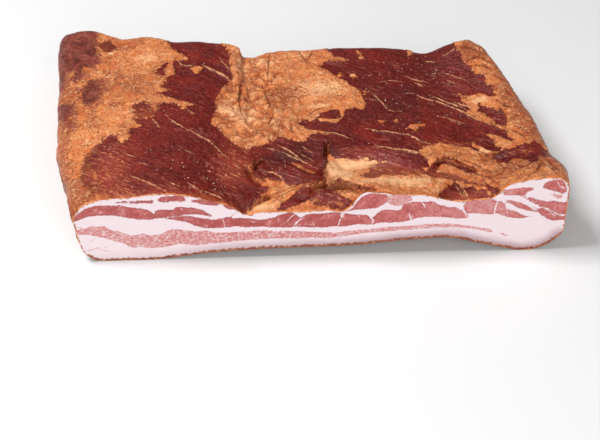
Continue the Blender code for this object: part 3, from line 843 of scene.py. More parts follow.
# %% Outlines on the cut, in pixels
CUT_LEAN = {
    "upper_left": [
        (66, 224), (73, 217), (78, 213), (84, 208), (92, 206), (100, 205), (118, 205), (132, 207),
        (140, 208), (146, 209), (152, 212), (154, 214), (155, 210), (160, 209), (172, 209), (176, 206),
        (190, 207), (196, 208), (203, 210), (208, 213), (212, 215), (210, 216), (205, 215), (198, 214),
        (190, 214), (180, 215), (172, 216), (165, 217), (158, 218), (150, 219), (140, 219), (130, 218),
        (120, 216), (110, 215), (100, 215), (92, 216), (85, 217), (78, 220),
    ],
    "thin": [(110, 202), (122, 201), (140, 200), (152, 200), (154, 202), (150, 203), (138, 203), (124, 203)],
    "blob": [(156, 200), (159, 197), (165, 196), (175, 195), (183, 196), (185, 199), (184, 201), (170, 201),
             (160, 202)],
    "upper_middle": [(190, 201), (194, 199), (200, 199), (210, 199), (216, 200), (220, 203), (218, 205),
                     (210, 205), (204, 204), (197, 203)],
    "upper_tip": [(222, 204), (226, 203), (232, 206), (237, 209), (230, 209), (225, 207)],
    "main": [
        (162, 219), (170, 217), (180, 216), (190, 216), (197, 217), (203, 218), (212, 219), (222, 218),
        (231, 216), (233, 218), (240, 217), (250, 218), (258, 219), (268, 218), (273, 217), (280, 214),
        (287, 212), (292, 212), (295, 214), (300, 217), (307, 214), (312, 213), (320, 213), (330, 212),
        (338, 212), (345, 213), (355, 214), (365, 214), (368, 215), (371, 218), (372, 216), (376, 213),
        (380, 210), (386, 209), (398, 210), (401, 208), (401, 206), (404, 203), (410, 202), (416, 201),
        (433, 201), (437, 204), (444, 205), (449, 207), (454, 206), (461, 210), (466, 214), (468, 215),
        (468, 217), (466, 218), (455, 218), (445, 217), (425, 216), (418, 217), (412, 219), (405, 221),
        (398, 222), (390, 222), (380, 222), (372, 224), (357, 224), (345, 226), (335, 226), (325, 227),
        (315, 227), (297, 226), (285, 227), (275, 227), (262, 226), (245, 227), (237, 226), (225, 227),
        (212, 228), (203, 227), (195, 226), (188, 222), (178, 220), (170, 219),
    ],
    "raised": [
        (344, 211), (350, 209), (354, 206), (355, 203), (358, 199), (363, 195), (370, 193), (378, 193),
        (386, 194), (389, 198), (386, 201), (383, 204), (378, 207), (372, 208), (365, 209), (357, 209),
        (352, 210),
    ],
    "right": [
        (463, 206), (465, 202), (468, 198), (480, 200), (492, 198), (496, 200), (501, 201), (505, 204),
        (507, 208), (510, 210), (516, 211), (521, 214), (526, 216), (531, 216), (526, 217), (518, 218),
        (508, 217), (502, 215), (497, 213), (490, 214), (476, 213), (468, 213), (467, 216), (464, 211),
    ],
    "right_upper": [
        (502, 190), (505, 189), (515, 188), (525, 187), (532, 187), (535, 188), (532, 190), (528, 191),
        (526, 193), (524, 195), (520, 196), (515, 195), (510, 195), (504, 195), (502, 192),
    ],
    "medallion": [(542, 186), (545, 182), (550, 180), (557, 179), (562, 180), (565, 184), (567, 189),
                  (566, 192), (562, 193), (556, 191), (552, 190), (547, 189), (543, 188)],
    "wedge_high": [
        (521, 196), (530, 197), (540, 200), (548, 201), (553, 200), (558, 201), (563, 202), (567, 201),
        (566, 214), (561, 214), (556, 212), (550, 209), (545, 207), (540, 206), (536, 204), (532, 202),
        (527, 199),
    ],
    "wedge_low": [(536, 208), (540, 207), (545, 209), (550, 211), (556, 214), (562, 216), (566, 215),
                  (565, 219), (558, 220), (551, 220), (545, 217), (540, 214), (537, 211)],
    "wedge_pale": [(503, 199), (512, 200), (520, 202), (527, 205), (533, 209), (537, 212), (533, 211),
                   (528, 210), (522, 209), (516, 207), (512, 204), (506, 202)],
}
CUT_LACE = {
    "streak": [
        (68, 229), (77, 229), (84, 228), (90, 226), (104, 226), (108, 228), (113, 230), (118, 231),
        (124, 233), (131, 235), (138, 234), (143, 233), (150, 235), (156, 234), (160, 234), (165, 231),
        (170, 229), (176, 228), (185, 230), (195, 231), (205, 230), (215, 232), (225, 232), (237, 231),
        (262, 230), (285, 230), (310, 231), (335, 232), (350, 230), (360, 229), (375, 228), (390, 226),
        (410, 225), (430, 223), (450, 223), (460, 224), (470, 225), (480, 227), (488, 228), (494, 231),
        (490, 232), (482, 230), (470, 228), (455, 227), (440, 227), (425, 228), (410, 229), (398, 230),
        (385, 231), (370, 232), (355, 234), (340, 236), (325, 238), (312, 237), (300, 238), (285, 238),
        (270, 238), (255, 239), (240, 240), (225, 242), (210, 243), (197, 245), (187, 244), (178, 243),
        (168, 246), (160, 247), (150, 248), (140, 246), (133, 248), (126, 245), (121, 242), (115, 241),
        (110, 239), (100, 237), (94, 236), (86, 234), (81, 235), (77, 234), (70, 238),
    ],
    "raised_edge": [(388, 195), (396, 194), (410, 194), (412, 200), (405, 203), (398, 206), (390, 204),
                    (386, 201)],
    "dash_a": [(497, 232), (503, 232), (508, 235), (503, 235)],
    "dash_b": [(510, 235), (518, 236), (518, 238), (512, 237)],
    "ring": [(549, 194), (554, 193), (561, 195), (562, 198), (556, 198)],
}
CUT_SEAMS = [
    (0.05, [(296, 213), (292, 215), (288, 219), (286, 221)]),
    (0.06, [(302, 218), (297, 221), (293, 226)]),
    (0.12, [(343, 211), (342, 214), (341, 217)]),
    (0.04, [(341, 217), (339, 221), (337, 226)]),
    (0.07, [(369, 215), (371, 218), (373, 220), (371, 224)]),
    (0.06, [(420, 200), (423, 204), (424, 206)]),
    (0.06, [(409, 214), (410, 218), (411, 221)]),
    (0.07, [(463, 209), (466, 214), (467, 217)]),
    (0.06, [(497, 199), (495, 207), (494, 214)]),
    (0.05, [(505, 205), (507, 211)]),
    (0.04, [(222, 218), (224, 223)]),
    (0.03, [(249, 219), (253, 222), (256, 221)]),
    (0.04, [(312, 222), (314, 226)]),
    (0.04, [(546, 214), (552, 213), (556, 216), (552, 217)]),
    (0.03, [(557, 181), (560, 187)]),
    (0.04, [(562, 186), (567, 191)]),
]
CUT_DASHES = [
    (0.06, [(78, 227), (82, 228)]),
    (0.04, [(80, 249), (88, 250), (93, 249), (97, 247), (101, 248), (107, 246)]),
    (0.04, [(98, 250), (104, 250), (110, 251)]),
    (0.04, [(90, 241), (93, 239)]),
    (0.05, [(231, 216), (234, 213), (237, 212)]),
    (0.04, [(532, 206), (536, 208), (538, 210)]),
]

# %% [markdown]
# ## Relief
#
# First comes the same slow unevenness as in the imported model.  Then the fine relief: fat stands a little
# proud of the lean beside it, strands lie on the lean like cords, narrow folds roll over it, and cracks
# sink.  Fat lies in thin sheets that overlap like shingles: one smooth number grows over the top, and each
# time it passes a whole number a new sheet begins.  The material reads the same number and paints shade at
# the foot of each sheet and a highlight on its lip.  Each height is along the surface's own normal, so it
# follows the folds.

# %% Unevenness of the whole skin
LUMPY_CENTRE = (-1.5, 1.8)
LUMPY_REACH = (2.6, 4.4)
LUMP_SIZE = 1.0
LUMP_DEPTH = 0.08
LUMP_SLOPE = 2.2  # how fast a lump rises out of the crease beside it
LUMP_MEAN = 0.6
LUMPY_CORE, LUMPY_RIM = 0.7, 1.15  # shares of the reach, between which the lumps fade
WAVE_SIZE = 2.4
WAVE_DEPTH = 0.08
WALL_FACING, TOP_FACING = 0.2, 0.6  # how far up a normal points on a wall and on the top
AT_SIDE = 0.9999  # lattice corners beyond this share lie in a side of the block
AT_TOP_EDGE = 0.999  # the same for the share of its height
CUT_FADE = -0.97  # relief fades between here and the cut, which stays flat


def lump(place):
    """0 in the crease between lumps and 1 on top of one."""
    nearest, next_one = noise.voronoi(place)[0][:2]
    return min(1.0, LUMP_SLOPE * (next_one - nearest))


def normals_of(skin, places):
    """The skin's own normals when its corners are at these places."""
    skin.vertices.foreach_set("co", places.ravel())
    skin.update()
    normals = np.zeros(places.size)
    skin.vertices.foreach_get("normal", normals)
    return normals.reshape(-1, 3)


normals = normals_of(mesh, points)
on_cut_plane = lattice[:, 1] < -AT_SIDE
share_up = rounded_block(lattice)[:, 2]
column_top = points.copy()  # over each corner of the cut, the edge above it, so that a column moves as one
column_top[on_cut_plane, 2] = top_height(points[on_cut_plane, 0], points[on_cut_plane, 1])
normals[on_cut_plane] = share_up[on_cut_plane, None] * [0, 0, 1]
normals[:, 1] *= ease(lattice[:, 1], -1, CUT_FADE)

faces_up = ease(normals[:, 2], WALL_FACING, TOP_FACING)
in_lumps = np.hypot((points[:, 0] - LUMPY_CENTRE[0]) / LUMPY_REACH[0],
                    (points[:, 1] - LUMPY_CENTRE[1]) / LUMPY_REACH[1])
lumpy = (1 - ease(in_lumps, LUMPY_CORE, LUMPY_RIM)) * faces_up
wave = noise_at(column_top, WAVE_SIZE) + 0.5 * noise_at(column_top, WAVE_SIZE / 2.3)
lumps = noise_at(column_top * [1, 1, 0], LUMP_SIZE, lump)
above_rind = ease(lattice[:, 2], -1, 0)
points += normals * (above_rind * (WAVE_DEPTH * wave + LUMP_DEPTH * lumpy * (lumps - LUMP_MEAN)))[:, None]

# %% Distances to every mark
NEATEST = 0.8  # the share of the fraying that a neat spot may take away

x, y, z = points.T
on_crust = ~on_cut_plane | (share_up > AT_TOP_EDGE)
marks = {name: np.full(len(points), -FAR) for name in ("lean", "membrane", "film", "cut_lean", "cut_lace")}
in_patch = joined(LEAN_PATCHES.values(), on_top, x[on_crust], y[on_crust])
in_island = joined(FAT_ISLANDS.values(), on_top, x[on_crust], y[on_crust])
marks["lean"][on_crust] = np.minimum(in_patch, -in_island)
marks["membrane"][on_crust] = joined(MEMBRANES.values(), on_top, x[on_crust], y[on_crust])
marks["film"][on_crust] = joined(LEAN_FILMS.values(), on_top, x[on_crust], y[on_crust])


def all_lines(lines, where, chosen, across, along):
    """nearest_line for the chosen corners, and far from everything for the others."""
    found = np.tile([FAR, FAR, 0.0], (len(points), 1))
    found[chosen] = nearest_line(lines, where, across[chosen], along[chosen])
    return found


for name, courses in {"strand": STRANDS, "second_strand": SECOND_STRANDS, "crack": CRACKS}.items():
    marks[name] = all_lines(sum(courses.values(), []), on_top, on_crust, x, y)
marks["cut_seam"] = all_lines(CUT_SEAMS, on_cut, on_cut_plane, x, z)
marks["cut_dash"] = all_lines(CUT_DASHES, on_cut, on_cut_plane, x, z)
marks["cut_lean"][on_cut_plane] = joined(CUT_LEAN.values(), on_cut, x[on_cut_plane], z[on_cut_plane])
marks["cut_lace"][on_cut_plane] = joined(CUT_LACE.values(), on_cut, x[on_cut_plane], z[on_cut_plane])
marks["tint"] = np.stack([soft_spots(name, x, y) for name in ("smoke_and_shade", "mauve_and_sheen", "blush")], axis=1)
marks["tone"] = np.stack([soft_spots(name, x, y) for name in ("pale_and_highlight", "brown_and_shade")] + [share_up], axis=1)
marks["neat"] = np.minimum(soft_spots("neat", x, y), NEATEST)
print("lean covers", round(100 * float((marks["lean"][on_crust] > 0).mean())), "% of the crust's corners")

# %% How far each corner of the cut lies from the cut's own edges, the slow changes of its colour, and its painted shade
CUT_PALENESS = [(-12.5, 0.1), (-9.0, 0.0), (-5.0, 0.0), (1.0, 0.0), (5.0, 0.4), (8.5, 0.6), (11.0, 0.65),
                (13.0, 0.4), (14.4, 0.4)]  # of the lean, along X
# how strongly the fat is painted greyer towards the rind along X, as shade where the cut's lower edge rolls
# under
CUT_RIND_SHADE = [(-12.5, 0.1), (-9.0, 0.2), (-5.0, 0.6), (0.0, 0.8), (6.0, 1.0), (12.0, 0.9), (14.4, 1.0)]

rims = {
    "top": on_cut_plane & (lattice[:, 2] > AT_SIDE),
    "rind": on_cut_plane & (lattice[:, 2] < -AT_SIDE),
    "left": on_cut_plane & (lattice[:, 0] < -AT_SIDE),
    "right": on_cut_plane & (lattice[:, 0] > AT_SIDE),
}
from_rim = {}
for name, chosen in rims.items():
    rim_points = points[chosen][:, [0, 2]]
    rim_points = rim_points[np.argsort(rim_points[:, 1] if name in ("left", "right") else rim_points[:, 0])]
    from_rim[name] = np.abs(beside(rim_points, x[on_cut_plane], z[on_cut_plane])[0])
marks["cut_tone"] = np.stack([smooth_curve(CUT_PALENESS)(x), smooth_curve(CUT_RIND_SHADE)(x), 0 * x], axis=1)
marks["cut_edge"] = np.full((len(points), 3), FAR)
marks["cut_edge"][on_cut_plane] = np.stack(
    [from_rim["top"], from_rim["rind"], np.minimum(from_rim["left"], from_rim["right"])], axis=1
)

# %% Fine relief
GRAIN_TURN = 32  # degrees from the grain of the lean to the X axis
FIBRE_STRETCH = 0.16  # of the noise along the grain, so that a fibre is about six times as long as wide
FIBRE_DEPTH = 0.014
FAT_PROUD = 0.06
STRAND_PROUD = 0.6  # of a strand's width
CRACK_DEPTH = 0.9  # of a crack's width
CRACK_SWELL = 0.5  # the same for the swollen skin beside it
SWELL_OFF, SWELL_WIDTH = 0.22, 0.16
GRAIN_SIZE = 0.3
GRAIN_DEPTH = 0.02
BEND_SIZE, BEND = 0.9, 0.25  # how the places are pushed about, so that no pattern runs straight
SHEET_SIZE = 0.8
SHEET_DEPTH = 0.08
SHEET_LIP = 0.78  # where, in each sheet, its height turns down again
LOBE_SIZE = 0.9
LOBE_DEPTH = 0.14
LOBE_CENTRE = (-2.8, 1.4)
LOBE_REACH = (2.8, 4.2)
LOBE_CORE, LOBE_RIM = 0.6, 1.2  # shares of the reach, between which the lobes grow weaker
LOBES_ELSEWHERE = 0.2  # how strong they are beyond it
ROLL_FADE = 0.2  # the share of its course over which a roll fades at each end
WALL_DEPTH = 0.12
SMOOTH_BELOW = 0.05  # the share of the height under which the rind stays smooth


def sheet_count(places):
    """A number that grows by one from each sheet of fat to the next, towards the cut."""
    flat = places * [1, 1, 0]
    ramp = (0.3 * places[:, 0] - places[:, 1]) / SHEET_SIZE
    return ramp + 2.2 * noise_at(flat, 1.3) + 0.9 * noise_at(flat, 0.5)


mask = on_crust & (share_up > SMOOTH_BELOW)
px, py = x[mask], y[mask]
depth_in_lean = marks["lean"][mask]
shape = np.zeros(mask.sum())
fat_share = 1 - ease(depth_in_lean, -0.05, 0.03)
shape += FAT_PROUD * fat_share

bent_places = np.stack([px, py, z[mask]], axis=1)
bent_places += BEND * np.array([noise.noise_vector(Vector(p)) for p in bent_places / BEND_SIZE])
sheet_number = sheet_count(bent_places)
sheet_part = sheet_number % 1
sheet_rise = np.minimum(sheet_part / SHEET_LIP, (1 - sheet_part) / (1 - SHEET_LIP))
sheet_strength = (0.25 + 0.75 * lumpy[mask]) * ease(noise_at(bent_places, 1.6), -0.35, 0.15)
shape += SHEET_DEPTH * fat_share * sheet_strength * (sheet_rise - 0.5)

wobble = 0.3 * noise_at(bent_places, 0.5)[:, None]
lobes = noise_at(bent_places * [1, 1.2, 0] + wobble, LOBE_SIZE, lump) - LUMP_MEAN
from_lobes = np.hypot((px - LOBE_CENTRE[0]) / LOBE_REACH[0], (py - LOBE_CENTRE[1]) / LOBE_REACH[1])
lobed = LOBES_ELSEWHERE + (1 - LOBES_ELSEWHERE) * (1 - ease(from_lobes, LOBE_CORE, LOBE_RIM))
shape += LOBE_DEPTH * fat_share * lobed * lobes
fat_grain = noise_at(bent_places, GRAIN_SIZE) + noise_at(bent_places * [1, 2.2, 1], GRAIN_SIZE * 2)
shape += GRAIN_DEPTH * fat_share * fat_grain
# The third number tells how high a place lies on its lobe; from it the material paints lobe tops lighter and
# creases darker, as light and shade.
marks["sheet"] = np.zeros((len(points), 3))
marks["sheet"][mask] = np.stack([sheet_number, sheet_strength, lobed * lobes / LUMP_MEAN], axis=1)

grain_angle = np.radians(GRAIN_TURN)
along = px * np.cos(grain_angle) - py * np.sin(grain_angle)
over = px * np.sin(grain_angle) + py * np.cos(grain_angle)
fibres = noise_at(np.stack([along * FIBRE_STRETCH, over, z[mask]], axis=1), GRAIN_SIZE)
shape += FIBRE_DEPTH * (1 - fat_share) * fibres
for name in ("strand", "second_strand"):
    _, far, wide = marks[name][mask].T
    strand = bell(far, np.maximum(0.7 * wide, 0.05)) * ease(depth_in_lean, -0.1, 0.05)
    shape += STRAND_PROUD * wide * strand
_, far, wide = marks["crack"][mask].T
shape -= CRACK_DEPTH * wide * bell(far, np.maximum(0.8 * wide, 0.06))
shape += CRACK_SWELL * wide * bell(far - SWELL_OFF, SWELL_WIDTH)
for width, rise, pixels in ROLLS:
    path = smooth_path(on_top(pixels))
    flat_places = np.stack([px, py], axis=1)
    low, high = path.min(axis=0) - 2 * width, path.max(axis=0) + 2 * width
    near = ((flat_places > low) & (flat_places < high)).all(axis=1)
    off, share = beside(path, px[near], py[near])
    shape[near] += rise * bell(off, width) * both_ends(share, ROLL_FADE)
shape *= faces_up[mask]
on_walls = noise_at(bent_places, 1.1) + 0.6 * noise_at(bent_places * [1, 1, 2.4], 0.7)
shape += (1 - faces_up[mask]) * WALL_DEPTH * on_walls
shape *= ease(lattice[mask, 1], -1, CUT_FADE)

normals = normals_of(mesh, points)
points[mask] += normals[mask] * shape[:, None]
print("fine relief from", round(10 * shape.min(), 2), "to", round(10 * shape.max(), 2), "mm")

# %% The finished skin
BIG_TURN = np.radians(55)  # edges that turn more than this stay crisp
EVERY = 40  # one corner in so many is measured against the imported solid

for name, values in marks.items():
    kind, field = ("FLOAT", "value") if values.ndim == 1 else ("FLOAT_VECTOR", "vector")
    mesh.attributes.new(name, kind, "POINT").data.foreach_set(field, values.astype(np.float32).ravel())

mesh.vertices.foreach_set("co", ((points - [*MIDDLE, 0]) * CM).ravel())
mesh.polygons.foreach_set("material_index", side_of_face.astype(np.int32))
mesh.shade_smooth()
mesh.set_sharp_from_angle(angle=BIG_TURN)
mesh.update()

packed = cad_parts["bacon_slab"]
solid = BVHTree.FromObject(packed, bpy.context.evaluated_depsgraph_get())
gaps = [solid.find_nearest(Vector(p))[3] for p in (points[::EVERY] - [*MIDDLE, 0]) * CM]
print("furthest from the packed solid:", round(1000 * max(gaps), 2), "mm")

# %% [markdown]
# ## Shader maths as plain expressions
#
# A node tree is easier to read as a formula.  `Value` wraps one output of a node, and each sum, product or
# smaller of two adds the Math node for it.  Everything else, such as a noise or a colour mix, comes from
# one method that takes the node's type, its settings and what goes into its sockets.

# %% The wrapped socket
class Value:
    """One output of a node that formulas can be written with."""

    def __init__(self, paint, socket):
        self.paint, self.socket = paint, socket

    def maths(self, operation, *others):
        """This value and the others through one Math node."""
        sockets = dict(enumerate([self, *others]))
        return self.paint.node("ShaderNodeMath", {"operation": operation}, sockets)

    __add__ = __radd__ = partialmethod(maths, "ADD")
    __sub__ = partialmethod(maths, "SUBTRACT")
    __mul__ = __rmul__ = partialmethod(maths, "MULTIPLY")
    __truediv__ = partialmethod(maths, "DIVIDE")
    __neg__ = partialmethod(maths, "MULTIPLY", -1.0)
    __abs__ = partialmethod(maths, "ABSOLUTE")
    least = partialmethod(maths, "MINIMUM")
    most = partialmethod(maths, "MAXIMUM")

    def __rsub__(self, other):
        return -self + other

    def step(self, low, high):
        """0 at low, 1 at high and smooth between; high may lie below low."""
        sockets = {0: self, 1: low, 2: high, 3: 0.0, 4: 1.0}
        return self.paint.node("ShaderNodeMapRange", {"interpolation_type": "SMOOTHSTEP"}, sockets)


class Paint:
    """A material that is being written as formulas."""

    def __init__(self, name):
        self.material = bpy.data.materials.new(name)
        self.material.use_nodes = True
        self.tree = self.material.node_tree
        self.shader = self.tree.nodes["Principled BSDF"]
        metres = Value(self, self.tree.nodes.new("ShaderNodeTexCoord").outputs["Object"])
        self.place = self.node("ShaderNodeVectorMath", {"operation": "SCALE"}, {0: metres, "Scale": 1 / CM})

    def node(self, kind, settings, sockets, output=0):
        """Adds a node, settles its settings, then fills its sockets, and returns one of its outputs."""
        made = self.tree.nodes.new(kind)
        for name, value in settings.items():
            setattr(made, name, value)
        for name, value in sockets.items():
            if isinstance(value, Value):
                self.tree.links.new(value.socket, made.inputs[name])
            else:
                made.inputs[name].default_value = value
        return Value(self, made.outputs[output])

    def mark(self, name, part=None):
        """A mark that was stored on the mesh, or one part of a mark that has three."""
        if part is None:
            return self.node("ShaderNodeAttribute", {"attribute_name": name}, {}, "Fac")
        vector = self.node("ShaderNodeAttribute", {"attribute_name": name}, {}, "Vector")
        return self.node("ShaderNodeSeparateXYZ", {}, {0: vector}, part)

    def noise(self, size, detail=2.0, place=None, roughness=0.55, warp=0.0):
        """Noise of that size in centimetres, near 0.5 on average."""
        sockets = {"Vector": place or self.place, "Scale": 1 / size, "Detail": detail, "Roughness": roughness,
                   "Distortion": warp}
        return self.node("ShaderNodeTexNoise", {}, sockets, "Fac")

    def cells(self, size, feature="F1", place=None, output="Distance"):
        """Distances to scattered points that lie about that far apart."""
        return self.node("ShaderNodeTexVoronoi", {"feature": feature},
                         {"Vector": place or self.place, "Scale": 1 / size}, output)

    def stretched(self, turn, sizes):
        """The place turned about Z by so many degrees and then stretched, for grain that runs one way."""
        turned = self.node("ShaderNodeVectorRotate", {"rotation_type": "Z_AXIS"},
                           {"Vector": self.place, "Angle": np.radians(turn)})
        return self.node("ShaderNodeVectorMath", {"operation": "MULTIPLY"}, {0: turned, 1: sizes})

    def bent(self, size, amount):
        """The place pushed about by noise, so that what is laid over it has no straight course."""
        sockets = {"Vector": self.place, "Scale": 1 / size, "Detail": 2.0}
        push = self.node("ShaderNodeTexNoise", {}, sockets, "Color")
        push = self.node("ShaderNodeVectorMath", {"operation": "SUBTRACT"}, {0: push, 1: (0.5, 0.5, 0.5)})
        push = self.node("ShaderNodeVectorMath", {"operation": "SCALE"}, {0: push, "Scale": amount})
        return self.node("ShaderNodeVectorMath", {"operation": "ADD"}, {0: self.place, 1: push})

    def flakes(self, size, place, slope):
        """Tilted flakes: how high each place lies, a shade for each flake, and how far its edge is."""
        sockets = {"Vector": place, "Scale": 1 / size}
        settings = {"feature": "F1"}
        own = self.node("ShaderNodeTexVoronoi", settings, sockets, "Color")
        centre = self.node("ShaderNodeTexVoronoi", settings, sockets, "Position")
        off = self.node("ShaderNodeVectorMath", {"operation": "SUBTRACT"}, {0: place, 1: centre})
        way = self.node("ShaderNodeVectorMath", {"operation": "ADD"}, {0: own, 1: slope})
        height = self.node("ShaderNodeVectorMath", {"operation": "DOT_PRODUCT"}, {0: off, 1: way}, "Value")
        edge = self.node("ShaderNodeTexVoronoi", {"feature": "DISTANCE_TO_EDGE"}, sockets, "Distance")
        return height, self.node("ShaderNodeSeparateXYZ", {}, {0: own}, 0), edge

    def mix(self, share, low, high):
        """Colours mixed by a share from 0 to 1."""
        return self.node("ShaderNodeMix", {"data_type": "RGBA"}, {0: share, 6: low, 7: high}, 2)

    def coated(self, colour, *coats):
        """A colour under one coat after another, each a share from 0 to 1 and the colour of the coat."""
        for share, coat in coats:
            colour = self.mix(share, colour, coat)
        return colour

    def finish(self, colour, roughness, height, bump_mm, **constants):
        """Feeds the shader: what varies by links, and the rest straight on its sockets."""
        sockets = {"Strength": 1.0, "Distance": bump_mm / 1000, "Height": height}
        normal = self.node("ShaderNodeBump", {}, sockets)
        for name, value in {"Base Color": colour, "Roughness": roughness, "Normal": normal}.items():
            self.tree.links.new(value.socket, self.shader.inputs[name])
        for name, value in constants.items():
            self.shader.inputs[name.replace("_", " ")].default_value = value
        print(self.material.name, "has", len(self.tree.nodes), "nodes")
        return self.material


def rgb(red, green, blue):
    """A colour as a screen shows it, 0 to 255, made linear for the shader."""
    shown = np.array([red, green, blue]) / 255
    linear = np.where(shown <= 0.04045, shown / 12.92, ((shown + 0.055) / 1.055) ** 2.4)
    return (*linear.tolist(), 1.0)


# %% [markdown]
# ## The smoked crust
#
# Smoke turns fat tan and lean a dark red brown.  The edge between them is frayed by noise at four sizes,
# the lean has a grain that runs from the back left to the front right, and the fat has lobes, creases,
# brown mottling and small dark specks.  Light and shade are painted into the colour as well: shade in
# cracks, creases and hollows and at the feet of the fat's sheets, highlights on lobe tops, sheet lips, the
# flap and in small glints, and a sheen on the lean.  The walls, which no mark describes, show the belly's
# layers through the crust and are painted browner, partly as shade on the sides.

# %% Crust: where each thing is
crust = Paint("smoked_crust")
broad, middling, small, tiny = (crust.noise(size, 3.0) for size in (2.2, 0.7, 0.22, 0.07))
fibre = crust.noise(0.11, 3.0, crust.stretched(GRAIN_TURN, (0.1, 1.0, 0.7)))
strip = crust.noise(0.34, 3.0, crust.stretched(GRAIN_TURN, (0.2, 1.0, 0.7)))
sinew = crust.noise(0.08, 2.0, crust.stretched(GRAIN_TURN, (0.07, 1.0, 0.7)))
frayed = (middling - 0.5) * 0.42 + (small - 0.5) * 0.5 + (fibre - 0.5) * 0.2 + (tiny - 0.5) * 0.2
frayed = frayed * (1 - crust.mark("neat"))
loose = crust.bent(0.8, 0.5)
flake, flake_shade, flake_edge = crust.flakes(0.5, loose, (-0.35, -1.0, -0.5))
wrinkle = abs(crust.noise(0.6, 3.0, loose) - 0.5)
sheet, sheet_share, on_lobe = (crust.mark("sheet", part) for part in range(3))
# Where each place lies in its sheet of fat, for a painted highlight on its lip and painted shade at its foot
part_way = (sheet + (small - 0.5) * 0.25).maths("FRACT")
sheet_edge = part_way.least(1 - part_way)
lip_highlight = part_way.step(0.45, 0.8) * part_way.step(0.98, 0.9)

facing = crust.node("ShaderNodeNewGeometry", {}, {}, "Normal")
wall = crust.node("ShaderNodeSeparateXYZ", {}, {0: facing}, 2).step(0.5, 0.2)
slow = crust.noise(4.5, 1.0)
layer = crust.mark("tone", 2) + (middling - 0.5) * 0.2 + (broad - 0.5) * 0.35
low_layer = layer.step(0.3, 0.33) * (layer + slow * 0.3).step(0.58, 0.55) * broad.step(0.36, 0.42)
high_layer = (layer + slow * 0.2).step(0.63, 0.66) * layer.step(0.84, 0.8) * middling.step(0.3, 0.36)
wall_lean = low_layer + high_layer

to_lean = crust.mark("lean") + frayed
top_lean = to_lean.step(-0.012, 0.02)
scraps = to_lean.step(0.4, 0.04) * (small * 0.5 + fibre * 0.5).step(0.575, 0.62)
film = (crust.mark("film") + frayed * 1.2).step(-0.08, 0.08) * (strip * 0.45 + fibre * 0.55).step(0.35, 0.47)
lean_above = (top_lean * (1 - scraps * 0.7)).most(film * 0.88)
is_lean = lean_above + wall * (wall_lean * 0.85 - lean_above)
is_membrane = (crust.mark("membrane") + frayed * 1.8).step(-0.35, 0.3) * (1 - wall)


def drawn(paint, name, softness=0.6):
    """1 on the drawn lines of a mark and 0 beside them, wavy and ragged like torn fibres."""
    side, far, wide = (paint.mark(name, part) for part in range(3))
    ragged = wide * (paint.noise(0.25, 2.0) * 3.2 - 0.75)
    wavy = side + (paint.noise(0.3, 1.0) - 0.5) * 0.09
    on_it = (abs(wavy) / ragged.most(0.001)).step(0.5 + softness, 0.5 - softness * 0.6)
    return on_it * far.step(0.16, 0.12) * wide.step(0.0, 0.02)


strands = drawn(crust, "strand").most(drawn(crust, "second_strand"))
cracks = drawn(crust, "crack", 0.8)

# %% Crust: colours
# Besides their own colours, the browns, the crease colour and the dark speck also paint shade, and the pale
# colour and the glint paint highlights.
FAT_MID, FAT_LIGHT, FAT_BROWN_AND_SHADE = rgb(218, 117, 64), rgb(248, 159, 96), rgb(162, 76, 42)
FAT_CREASE_SHADE, PALE_AND_HIGHLIGHT, DARK_SPECK_AND_SHADE = rgb(134, 48, 28), rgb(255, 200, 148), rgb(62, 26, 16)
LEAN_MID, LEAN_DARK, LEAN_LIGHT = rgb(114, 18, 10), rgb(78, 5, 3), rgb(186, 98, 76)
LEAN_RED, GLINT, STRAND = rgb(142, 32, 16), rgb(216, 170, 156), rgb(222, 154, 110)
MEMBRANE_MID, MEMBRANE_DARK, MEMBRANE_PALE = rgb(142, 60, 48), rgb(84, 28, 26), rgb(196, 126, 104)
MAUVE_AND_SHEEN, BLUSH, SMOKE_AND_SHADE = rgb(134, 40, 40), rgb(164, 66, 48), rgb(48, 4, 4)
THIN_FILM, CUT_WARM = rgb(150, 66, 40), rgb(180, 86, 44)

smoke_and_shade, mauve_and_sheen, blush = (crust.mark("tint", part) for part in range(3))
pale_and_highlight, brown_and_shade = (crust.mark("tone", part) for part in range(2))
veins = abs(crust.noise(0.45, 4.0, warp=0.8) - 0.5).step(0.03, 0.0) * middling.step(0.46, 0.6)
stipple = crust.noise(0.09, 2.0, loose)
puckers = abs(crust.noise(0.26, 3.0, loose, warp=0.6) - 0.5)
# small strokes for painted highlights and painted shade on the fat
highlight_and_shade_strokes = crust.noise(0.24, 2.0, loose, warp=1.5)
# Painted shade in the creases between the fat's lobes and just beside them
crease = (on_lobe + (small - 0.5) * 0.5).step(-0.25, -0.85) * on_lobe.step(0.0, -0.3)
shade_beside_crease = on_lobe.step(0.1, -0.5) * on_lobe.step(0.0, -0.1)

